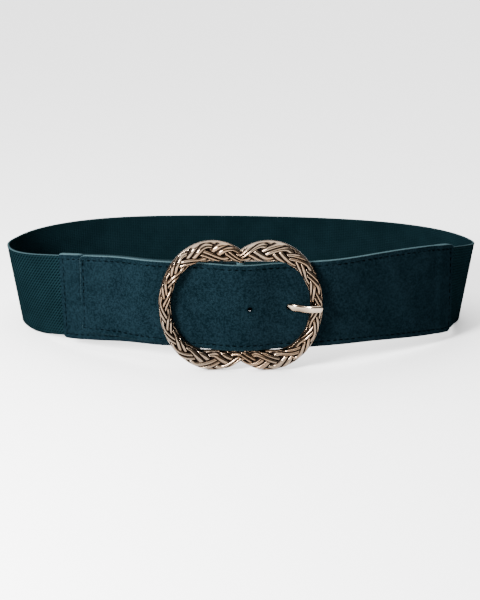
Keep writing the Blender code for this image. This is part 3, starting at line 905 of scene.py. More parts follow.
def gold_group():
    """Cast metal: worn bright tops, patina that gathers in the low places, and fine pits."""
    tree, given, result = new_group(
        "aged_gold",
        "ShaderNodeTree",
        [
            ("Place", VECTOR, None),
            ("Metal", COLOUR, (0, 0, 0, 1)),
            ("Warm Metal", COLOUR, (0, 0, 0, 1)),
            ("Patina", COLOUR, (0, 0, 0, 1)),
            ("Relief", NUMBER, 1.0),
            ("Dark Below", NUMBER, 0.1),
            ("Bright Above", NUMBER, 0.5),
            ("Stain Scale", NUMBER, 260.0),
            ("Pit Scale", NUMBER, 1400.0),
            ("Cast Scale", NUMBER, 45.0),
        ],
        [("Color", COLOUR), ("Roughness", NUMBER), ("Metallic", NUMBER), ("Height", NUMBER)],
    )
    place = given.outputs["Place"]
    stain = noise(tree, place, Value(tree, given.outputs["Stain Scale"]), 4.0, 0.65)
    pits = noise(tree, place, Value(tree, given.outputs["Pit Scale"]), 2.0, 0.5)
    level = Value(tree, given.outputs["Relief"]) + (stain - 0.5) * 0.35
    dark, clear = (Value(tree, given.outputs[name]) for name in ("Dark Below", "Bright Above"))
    bright = level.eased(dark, clear)
    warm = noise(tree, place, Value(tree, given.outputs["Cast Scale"]), 2.0, 0.5).eased(0.42, 0.62)
    metal = mixed(tree, warm, given.outputs["Metal"], given.outputs["Warm Metal"])
    feed(tree, result.inputs["Color"], mixed(tree, bright, given.outputs["Patina"], metal))
    feed(tree, result.inputs["Roughness"], 0.56 - bright * 0.44 + (pits - 0.5) * 0.12)
    feed(tree, result.inputs["Metallic"], bright * 0.2 + 0.8)
    feed(tree, result.inputs["Height"], stain * 0.6 + pits * 0.4)
    return tree


def surface(name, plain):
    """A material with its Principled BSDF, whose plain numbers are set on its own sockets."""
    material = bpy.data.materials.new(name)
    material.use_nodes = True
    shader = material.node_tree.nodes["Principled BSDF"]
    for label, value in plain.items():
        shader.inputs[label].default_value = value
    return material, material.node_tree, shader


def placed_group(tree, group, **inputs):
    """A node group in a material, with its inputs set; colours get their fourth number here."""
    plain = {name: (*v, 1) if hasattr(v, "__len__") else v for name, v in inputs.items()}
    return add_node(tree, "ShaderNodeGroup", {"node_tree": group}, **plain)


def object_place(tree):
    """The place on the object that a material's patterns are read from."""
    return tree.nodes.new("ShaderNodeTexCoord").outputs["Object"]


def add_bump(tree, shader, height, strength, distance):
    """Raises the surface by a height, whose full depth is distance."""
    bump = add_node(tree, "ShaderNodeBump", Height=height, Strength=strength, Distance=distance)
    tree.links.new(bump.outputs["Normal"], shader.inputs["Normal"])


def near_holes(tree, place, spots, inner, outer):
    """1 at the rim of each hole, fading to 0 at outer."""
    nearest = None
    for spot in spots:
        away = add_node(tree, "ShaderNodeVectorMath", {"operation": "DISTANCE"})
        feed(tree, away.inputs[0], place)
        away.inputs[1].default_value = spot
        away = Value(tree, away.outputs["Value"])
        nearest = away if nearest is None else nearest.math("MINIMUM", away)
    return 1 - nearest.eased(inner, outer)


def make_suede(colours, spots, suede):
    """Matt suede, with its nap pressed flat round the holes."""
    material, tree, shader = surface("napped_suede", MATT)
    place = object_place(tree)
    nap = placed_group(
        tree, suede_group(), Place=place, Base=colours.suede, Brushed=colours.suede_light,
        Edge=colours.raw_edge, Rim=attribute(tree, "rim"),
        Pressed=near_holes(tree, place, spots, suede.hole_radius, 2.2 * suede.hole_radius),
    )
    tree.links.new(nap.outputs["Color"], shader.inputs["Base Color"])
    add_bump(tree, shader, nap.outputs["Height"], 0.5, 0.0002)
    return material


def make_webbing(colours, sizes):
    """Matt woven webbing; its weave follows the map along and up the belt."""
    material, tree, shader = surface("ribbed_webbing", MATT)
    uv = add_node(tree, "ShaderNodeUVMap", {"uv_map": "along_and_up"}).outputs["UV"]
    weave = placed_group(
        tree, webbing_group(), Along_And_Up=uv, Yarn=colours.webbing,
        Raised=colours.webbing_light, Edge=colours.raw_edge,
        Inside=attribute(tree, "inside"), Rim=attribute(tree, "rim"), Rib_Pitch=sizes.rib_pitch,
    )
    tree.links.new(weave.outputs["Color"], shader.inputs["Base Color"])
    add_bump(tree, shader, weave.outputs["Height"], 0.9, 0.00030)
    return material


def make_thread(colours):
    """Twisted sewing thread, a little lighter along its raised turns, which is a painted highlight.
    """
    material, tree, shader = surface("sewing_thread", THREAD)
    twist = noise(tree, object_place(tree), THREAD_TWIST, 1.0, 0.5)
    dark = (*colours.thread, 1)
    # The lighter colour is a painted highlight on the thread's raised turns.
    light = (*(THREAD_PAINTED_HIGHLIGHT * c for c in colours.thread), 1)
    tree.links.new(mixed(tree, twist.eased(0.4, 0.6), dark, light), shader.inputs["Base Color"])
    add_bump(tree, shader, twist, 0.4, 0.0001)
    return material


def make_gold(name, colours, metals, relief, below, above):
    """Gilt metal, dark where the named value of the mesh is low and bright where it is high."""
    material, tree, shader = surface(name, {"Specular IOR Level": 0.2})
    group = bpy.data.node_groups.get("aged_gold") or gold_group()
    cast = placed_group(
        tree, group, Place=object_place(tree), Metal=metals[0], Warm_Metal=metals[1],
        Patina=colours.patina, Relief=attribute(tree, relief), Dark_Below=below,
        Bright_Above=above,
    )
    slots = {"Color": "Base Color", "Roughness": "Roughness", "Metallic": "Metallic"}
    for label, slot in slots.items():
        tree.links.new(cast.outputs[label], shader.inputs[slot])
    add_bump(tree, shader, cast.outputs["Height"], 0.25, 0.00012)
    return material


def suede_relief(layout, seams_up, seams_along, edges):
    """How far the suede stands proud: soft waves, and a groove along each seam."""
    suede = layout.suede

    def relief(along, up, inside):
        low, high = edges(along)
        waves = 0
        for depth, number_along, number_up, start in WAVE_ROWS:
            turn = number_along * along / suede.right_reach * math.pi + start
            turn = turn + number_up * up / suede.strap_height * 2 * math.pi
            waves = waves + depth * np.sin(turn)
        away = np.full(np.broadcast(along, up).shape, 1.0)
        for inset in seams_up:
            seam = low + inset if inset > 0 else high + inset
            away = np.minimum(away, np.abs(up - seam))
        for seam in seams_along:
            away = np.minimum(away, np.abs(along - seam))
        groove = np.exp(-((away / (suede.seam_width / 2)) ** 2))
        edge = np.minimum(up - low, high - up) / suede.stitch_inset
        thin = THIN_EDGE * (1 - blend(edge, 0.2, 1.1))
        side = -1 if inside else 1
        return side * suede.wave_depth * waves - suede.seam_depth * groove - thin

    return relief


def seam_points(layout, out, half, edges, side, start, end, inset):
    """Points along a seam beside an edge, on the outer or the inner face, and how they look."""
    stations = spaced(start, end, SEAM_STEP)
    low, high = edges(stations)
    up = low + inset if inset > 0 else high + inset
    return on_face(layout, out, half, side, stations, up)


def upright_seam(layout, out, half, edges, side, station, inset):
    """The same along an upright seam at one station."""
    low, high = (float(v) for v in edges(np.array(station)))
    up = spaced(low + inset, high - inset, SEAM_STEP)
    return on_face(layout, out, half, side, np.full(up.shape, float(station)), up)


def on_face(layout, out, half, side, stations, up):
    """Points in the groove of a seam, and the way that the face looks there."""
    rise = side * (half(stations) - 0.5 * layout.suede.seam_depth)
    looks = side * layout.loop.facing(stations)
    return layout.loop.place(stations, out(stations) + rise, up), looks


def stitch_tree():
    """A node tree that lays stitches along a path; the path's points carry the way they face."""
    tree, given, result = new_group(
        "stitch_row",
        "GeometryNodeTree",
        [
            ("Path", GEOMETRY, None),
            ("Pitch", NUMBER, 0.0045),
            ("Length", NUMBER, 0.0029),
            ("Width", NUMBER, 0.0006),
            ("Scatter", NUMBER, 0.05),
            ("Seed", "NodeSocketInt", 7),
            ("Material", MATERIAL, None),
        ],
        [("Stitches", GEOMETRY)],
    )
    path = add_node(tree, "GeometryNodeMeshToCurve", Mesh=given.outputs["Path"])
    spread = add_node(
        tree, "GeometryNodeResampleCurve", {"mode": "LENGTH"}, Curve=path.outputs[0],
        Length=given.outputs["Pitch"],
    )
    thread = add_node(tree, "GeometryNodeMeshUVSphere", Segments=8, Rings=5, Radius=0.5)
    width = given.outputs["Width"]
    size = add_node(tree, "ShaderNodeCombineXYZ", X=given.outputs["Length"], Y=width, Z=width)
    stitch = add_node(
        tree, "GeometryNodeTransform", Geometry=thread.outputs["Mesh"], Scale=size.outputs[0]
    )
    facing = add_node(
        tree, "GeometryNodeInputNamedAttribute", {"data_type": "FLOAT_VECTOR"}, Name="facing"
    )
    ahead = tree.nodes.new("GeometryNodeInputTangent")
    lengthwise = add_node(
        tree, "FunctionNodeAlignRotationToVector", {"axis": "X"}, Vector=ahead.outputs[0]
    )
    turned = add_node(
        tree, "FunctionNodeAlignRotationToVector", {"axis": "Z", "pivot_axis": "X"},
        Rotation=lengthwise.outputs[0], Vector=facing.outputs["Attribute"],
    )
    jitter = add_node(
        tree, "FunctionNodeRandomValue", {"data_type": "FLOAT"}, Seed=given.outputs["Seed"]
    )
    scatter = Value(tree, given.outputs["Scatter"])
    feed(tree, jitter.inputs[2], 1 - scatter)
    feed(tree, jitter.inputs[3], scatter + 1)
    laid = add_node(
        tree, "GeometryNodeInstanceOnPoints", Points=spread.outputs[0], Instance=stitch.outputs[0],
        Rotation=turned.outputs[0], Scale=jitter.outputs[1],
    )
    real = add_node(tree, "GeometryNodeRealizeInstances", Geometry=laid.outputs[0])
    smooth = add_node(tree, "GeometryNodeSetShadeSmooth", Geometry=real.outputs[0])
    done = add_node(
        tree, "GeometryNodeSetMaterial", Geometry=smooth.outputs[0],
        Material=given.outputs["Material"],
    )
    feed(tree, result.inputs["Stitches"], done.outputs[0])
    return tree


def run_tree(piece, tree, values):
    """Runs a geometry tree on a piece, with its inputs set, and keeps the result as plain mesh."""
    step = piece.modifiers.new("tree", "NODES")
    step.node_group = tree
    for item in tree.interface.items_tree:
        if item.in_out == "INPUT" and item.name in values:
            step[item.identifier] = values[item.name]
    keep_result(piece)


def stitched(name, layout, paths, material):
    """One mesh of stitches that follow all the paths."""
    points = np.concatenate([path for path, _ in paths])
    facing = np.concatenate([way for _, way in paths])
    edges = []
    first = 0
    for path, _ in paths:
        edges += [(k, k + 1) for k in range(first, first + len(path) - 1)]
        first += len(path)
    mesh = bpy.data.meshes.new(name)
    mesh.from_pydata((points + layout.shift).tolist(), edges, [])
    way = mesh.attributes.new("facing", "FLOAT_VECTOR", "POINT")
    way.data.foreach_set("vector", facing.astype(np.float32).ravel())
    made = bpy.data.objects.new(name, mesh)
    bpy.context.scene.collection.objects.link(made)
    suede = layout.suede
    tree = bpy.data.node_groups.get("stitch_row") or stitch_tree()
    run_tree(made, tree, {
        "Pitch": suede.stitch_pitch, "Length": suede.stitch_length, "Width": suede.stitch_width,
        "Material": material,
    })
    return made


def reach_to_edge(turn, inside):
    """How far out a shape's edge lies in each direction, found by halving."""
    near = np.zeros_like(turn)
    far = np.full_like(turn, FARTHEST)
    for _ in range(HALVINGS):
        reach = (near + far) / 2
        held = inside(np.abs(reach * np.cos(turn)), np.abs(reach * np.sin(turn)))
        near = np.where(held, reach, near)
        far = np.where(held, far, reach)
    return near


def oval_reach(turn, half_width, half_height, offset):
    """How far the outline of two side by side ovals lies from their middle, in each direction."""

    def inside(x, z):
        return ((x - offset) / (half_width - offset)) ** 2 + (z / half_height) ** 2 < 1

    return reach_to_edge(turn, inside)


def opening_reach(turn, buckle):
    """The same for the opening: straight above and below, with oval ends."""
    straight = buckle.opening_width / 2 - buckle.opening_end

    def inside(x, z):
        x = np.maximum(x - straight, 0) / buckle.opening_end
        z = z / (buckle.opening_height / 2)
        return x**2 + z**2 < 1

    return reach_to_edge(turn, inside)


def plait_tree():
    """A node tree that raises three plaited strands, each of two cords, from a smooth casting."""
    tree, given, result = new_group(
        "plait_relief",
        "GeometryNodeTree",
        [
            ("Casting", GEOMETRY, None),
            ("Relief", NUMBER, 0.003),
            ("Sway", NUMBER, 0.98),
            ("Strand Width", NUMBER, 0.6),
            ("Cord Width", NUMBER, 0.4),
            ("Sharpness", NUMBER, 0.93),
            ("Rim", NUMBER, 0.5),
            ("Material", MATERIAL, None),
        ],
        [("Casting", GEOMETRY)],
    )

    def stored(name):
        node = add_node(
            tree, "GeometryNodeInputNamedAttribute", {"data_type": "FLOAT"}, Name=name
        )
        return Value(tree, node.outputs["Attribute"])

    along, across, front = stored("along"), stored("across"), stored("front")
    sway, width, cord, turn = (
        Value(tree, given.outputs[name])
        for name in ("Sway", "Strand Width", "Cord Width", "Sharpness")
    )
    # Each strand swings across the casting; where two meet, the one with the higher level shows.
    level = crest = None
    for strand in range(STRANDS):
        phase = (along + strand / STRANDS) * (2 * math.pi)
        line = (phase.math("SINE") * turn).math("ARCSINE") / turn.math("ARCSINE") * sway
        away = (across - line).math("ABSOLUTE") / width
        from_cord = (away - CORD_PLACE).math("ABSOLUTE") / cord
        rounded = (1 - from_cord * from_cord).math("MAXIMUM", 0.0).math("SQRT")
        over = 0.65 - (phase * 2.0).math("SINE") * 0.5
        here = (1.08 - away).math("MULTIPLY", 6.0, clamp=True) * over
        if level is None:
            level, crest = here, rounded * here.math("GREATER_THAN", 0.0)
        else:
            wins = here.math("GREATER_THAN", level)
            crest = crest + (rounded - crest) * wins
            level = level.math("MAXIMUM", here)
    # The smooth border is round in section and lies close to the casting's two edges.
    beside = across.math("ABSOLUTE")
    rim = 1 - ((beside - BORDER_PLACE) / BORDER_HALF).math("POWER", 2.0)
    rim = rim.math("MAXIMUM", 0.0).math("SQRT")
    plaited = (level * 0.5 + crest * 0.45) * ((0.97 - beside).math("MULTIPLY", 9.0, clamp=True))
    edge = rim * Value(tree, given.outputs["Rim"])
    on_rim = edge.math("GREATER_THAN", plaited)
    height = plaited.math("MAXIMUM", edge)
    shine = (crest + (rim - crest) * on_rim) * front + (1 - front) * PLAIN_SHINE
    fading = 1 - beside.math("POWER", 14.0)
    rise = (height - PLAIT_ZERO) * fading * front * Value(tree, given.outputs["Relief"])
    offset = add_node(tree, "ShaderNodeCombineXYZ", Y=rise * -1)
    raised = add_node(
        tree, "GeometryNodeSetPosition", Geometry=given.outputs["Casting"],
        Offset=offset.outputs[0],
    )
    kept = add_node(
        tree, "GeometryNodeStoreNamedAttribute", {"data_type": "FLOAT", "domain": "POINT"},
        Geometry=raised.outputs[0], Name="relief", Value=shine,
    )
    done = add_node(
        tree, "GeometryNodeSetMaterial", Geometry=kept.outputs[0],
        Material=given.outputs["Material"],
    )
    feed(tree, result.inputs["Casting"], done.outputs[0])
    return tree


def even_along(size, buckle):
    """Directions from the buckle's middle, evenly along the casting in each quarter of it."""
    fine = np.linspace(0, 2 * math.pi, OUTLINE_STEPS)
    centre = (oval_reach(fine, *size) + opening_reach(fine, buckle)) / 2
    line = np.stack([centre * np.cos(fine), centre * np.sin(fine)], -1)
    reach = np.concatenate([[0], np.cumsum(np.linalg.norm(np.diff(line, axis=0), axis=1))])
    quarter = FRAME_STEPS // 4
    turns = []
    for corner in range(4):
        start, end = (np.interp(q * math.pi / 2, fine, reach) for q in (corner, corner + 1))
        turns.append(np.interp(start + (end - start) * np.arange(quarter) / quarter, reach, fine))
    return np.concatenate(turns)


def casting_skin(layout):
    """The casting without its plait: points, faces and where each point lies in the plait."""
    buckle = layout.buckle
    size = (buckle.width / 2, buckle.height / 2, buckle.lobe_spacing / 2)
    turn = even_along(size, buckle)
    inner = opening_reach(turn, buckle)[:, None]
    outer = oval_reach(turn, *size)[:, None]
    share_out = np.linspace(0, 1, FRAME_COURSES)[None, :]
    across = 2 * share_out - 1
    dome = buckle.edge + buckle.dome * (1 - np.abs(across) ** 2.6) ** 0.6
    # The walls' heights as shares of the edge's, how far they draw in there, and the back's points.
    walls = np.array([0.75, 0.4, 0.12, 0.0])
    inset = np.array([0.0, 0.0, 0.05, 0.35]) * MM
    back_across = np.array([0.6, 0.2, -0.2, -0.6])
    corners = len(walls)

    def ring(shares, heights, pull):
        radius = inner + (outer - inner) * shares + pull
        x = radius * np.cos(turn)[:, None]
        z = radius * np.sin(turn)[:, None]
        return np.stack(np.broadcast_arrays(x, layout.back - heights, z + layout.middle), -1)

    ones = np.ones((1, corners))
    rings = [
        ring(share_out, dome, 0),
        ring(ones, buckle.edge * walls[None, :], -inset[None, :]),
        ring((back_across[None, :] + 1) / 2, 0 * ones, 0),
        ring(0 * ones, buckle.edge * walls[None, ::-1], inset[None, ::-1]),
    ]
    points = np.concatenate(rings, 1)
    across_all = np.concatenate([across, ones, back_across[None, :], -ones], 1)
    front = np.concatenate([np.ones_like(across), np.zeros((1, 3 * corners))], 1)
    count, size = points.shape[:2]
    along = (np.arange(count) / count * buckle.repeats)[:, None]
    values = [np.broadcast_to(v, (count, size)) for v in (along, across_all, front)]
    flat = points.reshape(-1, 3)
    return flat, outward(flat, skin_faces(count, size, True)), values


def prong_rows(layout):
    """Stations of the prong from the bar to its tip: x, y, width and thickness."""
    suede, buckle = layout.suede, layout.buckle
    station = np.array(layout.prong_hole_reach)
    hole_x, hole_y = layout.loop.place(station, layout.strap_out(station), np.array(0.0))[:2]
    reach = buckle.width / 2 - suede.gap / 2
    wide, thick, neck = buckle.prong_width, buckle.prong_thick, buckle.prong_neck
    rest = layout.back - buckle.edge - buckle.dome - buckle.relief * 0.6 - suede.gap - thick / 2
    under = hole_y + suede.strap_thick / 2 + suede.gap + thick / 2
    ring_outer = layout.eye_outer - suede.gap / 2
    ring_back = layout.eye[1] + ring_outer - thick / 2
    run = buckle.opening_width / 2 - hole_x
    climb = hole_y - rest
    rows = (
        # x, y, width, thickness
        (0.0, ring_back, wide, thick),
        (2 * ring_outer, ring_back - 0.4 * thick, wide, thick),
        (hole_x - 1.9 * wide, under + suede.gap, wide, thick),
        (hole_x - 1.15 * wide, under, 0.8 * wide, thick),
        (hole_x - 1.50 * thick, hole_y + 0.55 * thick, neck, thick),
        (hole_x - 0.30 * thick, hole_y - 0.35 * thick, 1.45 * neck, 1.1 * thick),
        (hole_x + 0.10 * run, hole_y - 0.24 * climb, 1.06 * wide, 1.15 * thick),
        (hole_x + 0.34 * run, hole_y - 0.42 * climb, wide, 1.1 * thick),
        (hole_x + 0.72 * run, hole_y - 0.76 * climb, wide, thick),
        (hole_x + 1.10 * run, rest + suede.gap / 2, wide, thick),
        (reach - 1.9 * thick, rest, wide, thick),
        (reach - 0.5 * thick, rest, 0.9 * wide, 0.9 * thick),
        (reach, rest, 0.6 * wide, 0.5 * thick),
    )
    return np.array(rows), hole_x, reach


def prong_skin(layout):
    """The prong's shank as rounded sections along its bent line, and where it is bright; behind the
    strap its colour is painted shade.
    """
    buckle = layout.buckle
    rows, hole_x, reach = prong_rows(layout)
    run = np.concatenate([[0], np.cumsum(np.linalg.norm(np.diff(rows[:, :2], axis=0), axis=1))])
    at = np.linspace(0, run[-1], PRONG_STEPS)
    x, y, width, thick = (smooth_through(run, rows[:, k], at) for k in range(4))
    x = np.interp(at, run, rows[:, 0])
    level = layout.prong_level + buckle.prong_tilt * blend(x, hole_x, reach)
    level -= BEHIND_DROP * (1 - blend(x, 0.3 * hole_x, 0.6 * hole_x))
    ahead = np.stack([np.gradient(x), np.gradient(y)], -1)
    ahead /= np.linalg.norm(ahead, axis=1, keepdims=True)
    from_tip = np.clip(1 - (run[-1] - at) / TIP_ROUNDING, 0, 1)
    end = np.sqrt(np.clip(1 - from_tip**2, 0.02, 1))
    turn = even_turns(PRONG_SIDES)[None, :]
    side, up = (np.sign(v) * np.abs(v) ** 0.8 for v in (np.cos(turn), np.sin(turn)))
    side = (thick * end / 2)[:, None] * side
    up = (width * end / 2)[:, None] * up
    points = np.stack([
        x[:, None] + ahead[:, 1:] * side, y[:, None] - ahead[:, :1] * side, level[:, None] + up,
    ], -1)
    flat = points.reshape(-1, 3)
    # Painted shade: the shank behind the strap, seen through the empty hole, is drawn in the dark
    # patina colour; in front of the strap it is bright.
    rub_and_painted_shade = blend(x, hole_x - 1.3 * buckle.prong_thick, hole_x - 0.8 * buckle.prong_thick)
    faces = outward(flat, skin_faces(PRONG_STEPS, PRONG_SIDES, False))
    return flat, faces, np.repeat(rub_and_painted_shade, PRONG_SIDES)


class BELT_OT_stage(bpy.types.Operator):
    """Makes the pale floor, the soft lights and the camera"""

    bl_idname = "belt.stage"
    bl_label = "Stage"

    def execute(self, context):
        sizes = context.scene.belt_stage
        self.lay_floor(sizes.floor_size / 2)
        self.light_sky(context.scene, sizes.sky)
        key = self.hang_lamp(context.scene, "key_light", "AREA", sizes.key_light)
        key.data.size = sizes.key_size
        key.location = KEY_PLACE
        key.rotation_euler = (KEY_AIM - KEY_PLACE).to_track_quat("-Z", "Y").to_euler()
        top = self.hang_lamp(context.scene, "top_light", "SUN", sizes.top_light)
        top.data.angle = TOP_SPREAD
        top.rotation_euler = TOP_TURN
        self.place_camera(context.scene, sizes)
        return {"FINISHED"}

    def lay_floor(self, half):
        """A pale square floor."""
        corners = [(-half, -half, 0), (half, -half, 0), (half, half, 0), (-half, half, 0)]
        material, _, shader = surface("pale_floor", FLOOR)
        shader.inputs["Base Color"].default_value = (FLOOR_GREY, FLOOR_GREY, FLOOR_GREY, 1)
        floor = new_piece("floor", corners, [(0, 1, 2, 3)], material, np.zeros(3), smooth=False)

    def light_sky(self, scene, strength):
        """Even white light from all round."""
        sky = bpy.data.worlds.new("even_sky")
        sky.use_nodes = True
        back = sky.node_tree.nodes["Background"]
        back.inputs["Color"].default_value = (1, 1, 1, 1)
        back.inputs["Strength"].default_value = strength
        scene.world = sky

    def hang_lamp(self, scene, name, kind, energy):
        """A lamp in the scene, to be placed and aimed."""
        light = bpy.data.lights.new(name, kind)
        light.energy = energy
        lamp = bpy.data.objects.new(name, light)
        scene.collection.objects.link(lamp)
        return lamp

    def place_camera(self, scene, sizes):
        """The camera, at the photograph's height and tilt."""
        camera = bpy.data.cameras.new("camera")
        camera.sensor_fit = "VERTICAL"
        camera.sensor_width = SENSOR
        camera.sensor_height = SENSOR
        camera.lens = sizes.lens
        holder = bpy.data.objects.new("camera", camera)
        holder.location = (sizes.camera_side, -sizes.camera_distance, sizes.camera_height)
        holder.rotation_euler = (sizes.camera_tilt, 0, 0)
        scene.collection.objects.link(holder)
        scene.camera = holder


class BELT_OT_webbing(bpy.types.Operator):
    """Makes the elastic webbing, with its ribs inside and its firm edges"""

    bl_idname = "belt.webbing"
    bl_label = "Webbing"

    def execute(self, context):
        layout = Layout(context.scene)
        sizes = layout.loop_sizes
        half_height = sizes.elastic_height / 2
        step_along, step_up = WEBBING_STEP
        outer = rows_with_seams(sizes.elastic_height, WEBBING_EDGE, (), 0, step_up)
        inner = rows_with_seams(sizes.elastic_height, WEBBING_EDGE, (), 0, sizes.rib_pitch / 4)
        stations = spaced(layout.elastic_start, layout.elastic_end, step_along)

        def place(station):
            low = -half_height - layout.side_drop(station)
            return 0 * station, sizes.elastic_thick / 2, low, half_height

        def relief(along, up, inside):
            edge = np.minimum(half_height - up, half_height + layout.side_drop(along) + up)
            firm = THIN_EDGE * (1 - blend(edge, 0.6 * sizes.selvedge, sizes.selvedge))
            if not inside:
                return firm + 0 * along
            ribs = 0.5 - 0.5 * np.cos(2 * math.pi * up / sizes.rib_pitch)
            return firm - sizes.rib_depth * ribs + 0 * along

        material = make_webbing(context.scene.belt_colours, sizes)
        made = ribbon(
            "elastic_webbing", layout, stations, (outer, inner), place, relief, WEBBING_EDGE,
            material,
        )
        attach(made, "root")
        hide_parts("elastic_band")
        return {"FINISHED"}


class BELT_OT_suede_ends(bpy.types.Operator):
    """Makes the strap with its holes and the tab that holds the buckle"""

    bl_idname = "belt.suede_ends"
    bl_label = "Suede ends"

    def execute(self, context):
        layout = Layout(context.scene)
        spots = [
            self.hole_centre(layout, station) + layout.shift
            for station in (layout.suede.free_hole_reach, layout.prong_hole_reach)
        ]
        material = make_suede(context.scene.belt_colours, spots, layout.suede)
        self.make_strap(layout, material)
        self.make_tab(layout, material)
        return {"FINISHED"}

    def hole_centre(self, layout, station):
        """The middle of a hole in the strap."""
        spot = np.array(station)
        up = -layout.suede.hole_drop - layout.sag(spot)
        return layout.loop.place(spot, layout.strap_out(spot), up)

    def pocket(self, layout, stations):
        """A cutter for the room that the webbing takes inside a sheath, between two stations."""
        sizes, suede = layout.loop_sizes, layout.suede
        stations = spaced(*stations, SEAM_STEP)
        out = sizes.elastic_thick / 2 + suede.pocket_gap
        high = sizes.elastic_height / 2 + suede.pocket_gap
        low = -high - layout.side_drop(stations)
        rings = [
            layout.loop.place(stations, side * out, up)
            for side, up in ((1, high), (1, low), (-1, low), (-1, high))
        ]
        points = np.stack(rings, 1).reshape(-1, 3)
        return points, outward(points, skin_faces(len(stations), 4, False))

    def suede_strip(self, name, layout, ends, seams, lies, material, edge_pale_and_painted_shade=np.ones_like):
        """A strip of suede with its seams.

        lies gives how far out its middle is, its half thickness and its two edges at a station;
        the last argument gives how pale its cut edges are there, and below one that is painted
        shade."""
        suede = layout.suede
        step_along, step_up = SUEDE_STEP
        inset, groove = suede.stitch_inset, suede.seam_width / 2
        place_out, place_half, edges = lies
        stations = stations_with_seams(*ends, step_along, seams, groove, SUEDE_EDGE)
        rows = (inset, suede.strap_height - inset)
        shares = rows_with_seams(suede.strap_height, SUEDE_EDGE, rows, groove, step_up)

        def place(station):
            low, high = edges(station)
            return place_out(station), place_half(station), low, high

        relief = suede_relief(layout, (inset, -inset), seams, edges)
        return ribbon(
            name, layout, stations, (shares, shares), place, relief, SUEDE_EDGE, material,
            edge_pale_and_painted_shade(stations)[:, None],
        )

    def make_strap(self, layout, material):
        """The strap, with the webbing's room in its right end and its two holes."""
        suede = layout.suede
        seams = (-suede.tip_reach + suede.tip_inset, suede.right_reach - suede.stitch_inset)
        ends = (-suede.tip_reach, suede.right_reach)
        lies = (layout.strap_out, layout.strap_half, layout.strap_edges)
        made = self.suede_strip("strap_suede", layout, ends, seams, lies, material)
        mouth = suede.right_reach
        room = (mouth - suede.pocket_depth, mouth + suede.pocket_depth / 3)
        cutters = [self.pocket(layout, room)]
        for station, radius, across in (
            (suede.free_hole_reach, suede.hole_radius, 2 * suede.hole_radius),
            (layout.prong_hole_reach, suede.prong_hole_width / 2, suede.prong_hole_length),
        ):
            centre = self.hole_centre(layout, station)
            aim = layout.loop.at(np.array(station))[1]
            depth = 2 * suede.strap_thick
            cutters.append(level_rod(centre, radius, across, aim, depth, ROD_SIDES))
        carve(made, cutters, "DIFFERENCE", layout.shift)
        made.data.set_sharp_from_angle(angle=SHARP_ANGLE)
        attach(made, "root")
        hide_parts("hole_strap")

    def make_tab(self, layout, material):
        """The tab, folded round the bar, with its slot for the prong and the webbing's room."""
        suede, buckle = layout.suede, layout.buckle

        # Painted shade: the tab's pale cut edge is drawn dim where the strap lies in front of it,
        # right of the strap's tip.
        def edge_pale_and_painted_shade(stations):
            bare = -suede.tip_reach - suede.tab_thick
            return 1 - 0.8 * blend(stations, bare, -suede.tip_reach)

        seams = (-suede.left_reach + suede.stitch_inset,)
        lies = (layout.tab_out, layout.tab_half, layout.tab_edges)
        made = self.suede_strip(
            "tab_suede", layout, (-suede.left_reach, 0.0), seams, lies, material, edge_pale_and_painted_shade
        )
        low = layout.middle - suede.strap_height / 2
        high = layout.middle + suede.strap_height / 2
        spare = layout.eye_outer
        fold = upright_round(layout.eye, layout.eye_outer, low, high, ROD_SIDES)
        carve(made, [fold], "UNION", layout.shift)
        level = layout.prong_level
        reach = 2 * layout.eye_outer
        left = -0.85 * reach
        front, back = layout.eye[1] - reach, layout.eye[1] + reach
        ring = np.array([(left, front), (reach, front), (reach, back), (left, back)])
        slot = prism(ring, level - buckle.slot_height / 2, level + buckle.slot_height / 2)
        mouth = -suede.left_reach
        pocket = self.pocket(layout, (mouth - suede.pocket_depth / 3, mouth + suede.pocket_depth))
        room = upright_round(layout.eye, layout.eye_inner, low - spare, high + spare, ROD_SIDES)
        carve(made, [room, slot, pocket], "DIFFERENCE", layout.shift)
        made.data.set_sharp_from_angle(angle=SHARP_ANGLE)
        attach(made, "root")
        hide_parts("buckle_tab")


class BELT_OT_stitching(bpy.types.Operator):
    """Sews the rows of stitches round both suede ends"""

    bl_idname = "belt.stitching"
    bl_label = "Stitching"

    def execute(self, context):
        layout = Layout(context.scene)
        suede = layout.suede
        inset = suede.stitch_inset
        thread = make_thread(context.scene.belt_colours)
        strap = (layout.strap_out, layout.strap_half, layout.strap_edges)
        tab = (layout.tab_out, layout.tab_half, layout.tab_edges)
        tip_seam, right_seam = -suede.tip_reach + suede.tip_inset, suede.right_reach - inset
        left_seam, hidden_end = -suede.left_reach + inset, -layout.corner_station
        rows = (
            ("strap_stitches", strap, (tip_seam, right_seam), (tip_seam, right_seam)),
            ("tab_stitches", tab, (left_seam, hidden_end), (left_seam,)),
        )
        clear = inset + suede.stitch_pitch / 2
        for name, piece, ends, upright in rows:
            paths = []
            for side in (1, -1):
                for edge in (inset, -inset):
                    paths.append(seam_points(layout, *piece, side, *ends, edge))
                for station in upright:
                    paths.append(upright_seam(layout, *piece, side, station, clear))
            made = stitched(name, layout, paths, thread)
            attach(made, "root")
        return {"FINISHED"}


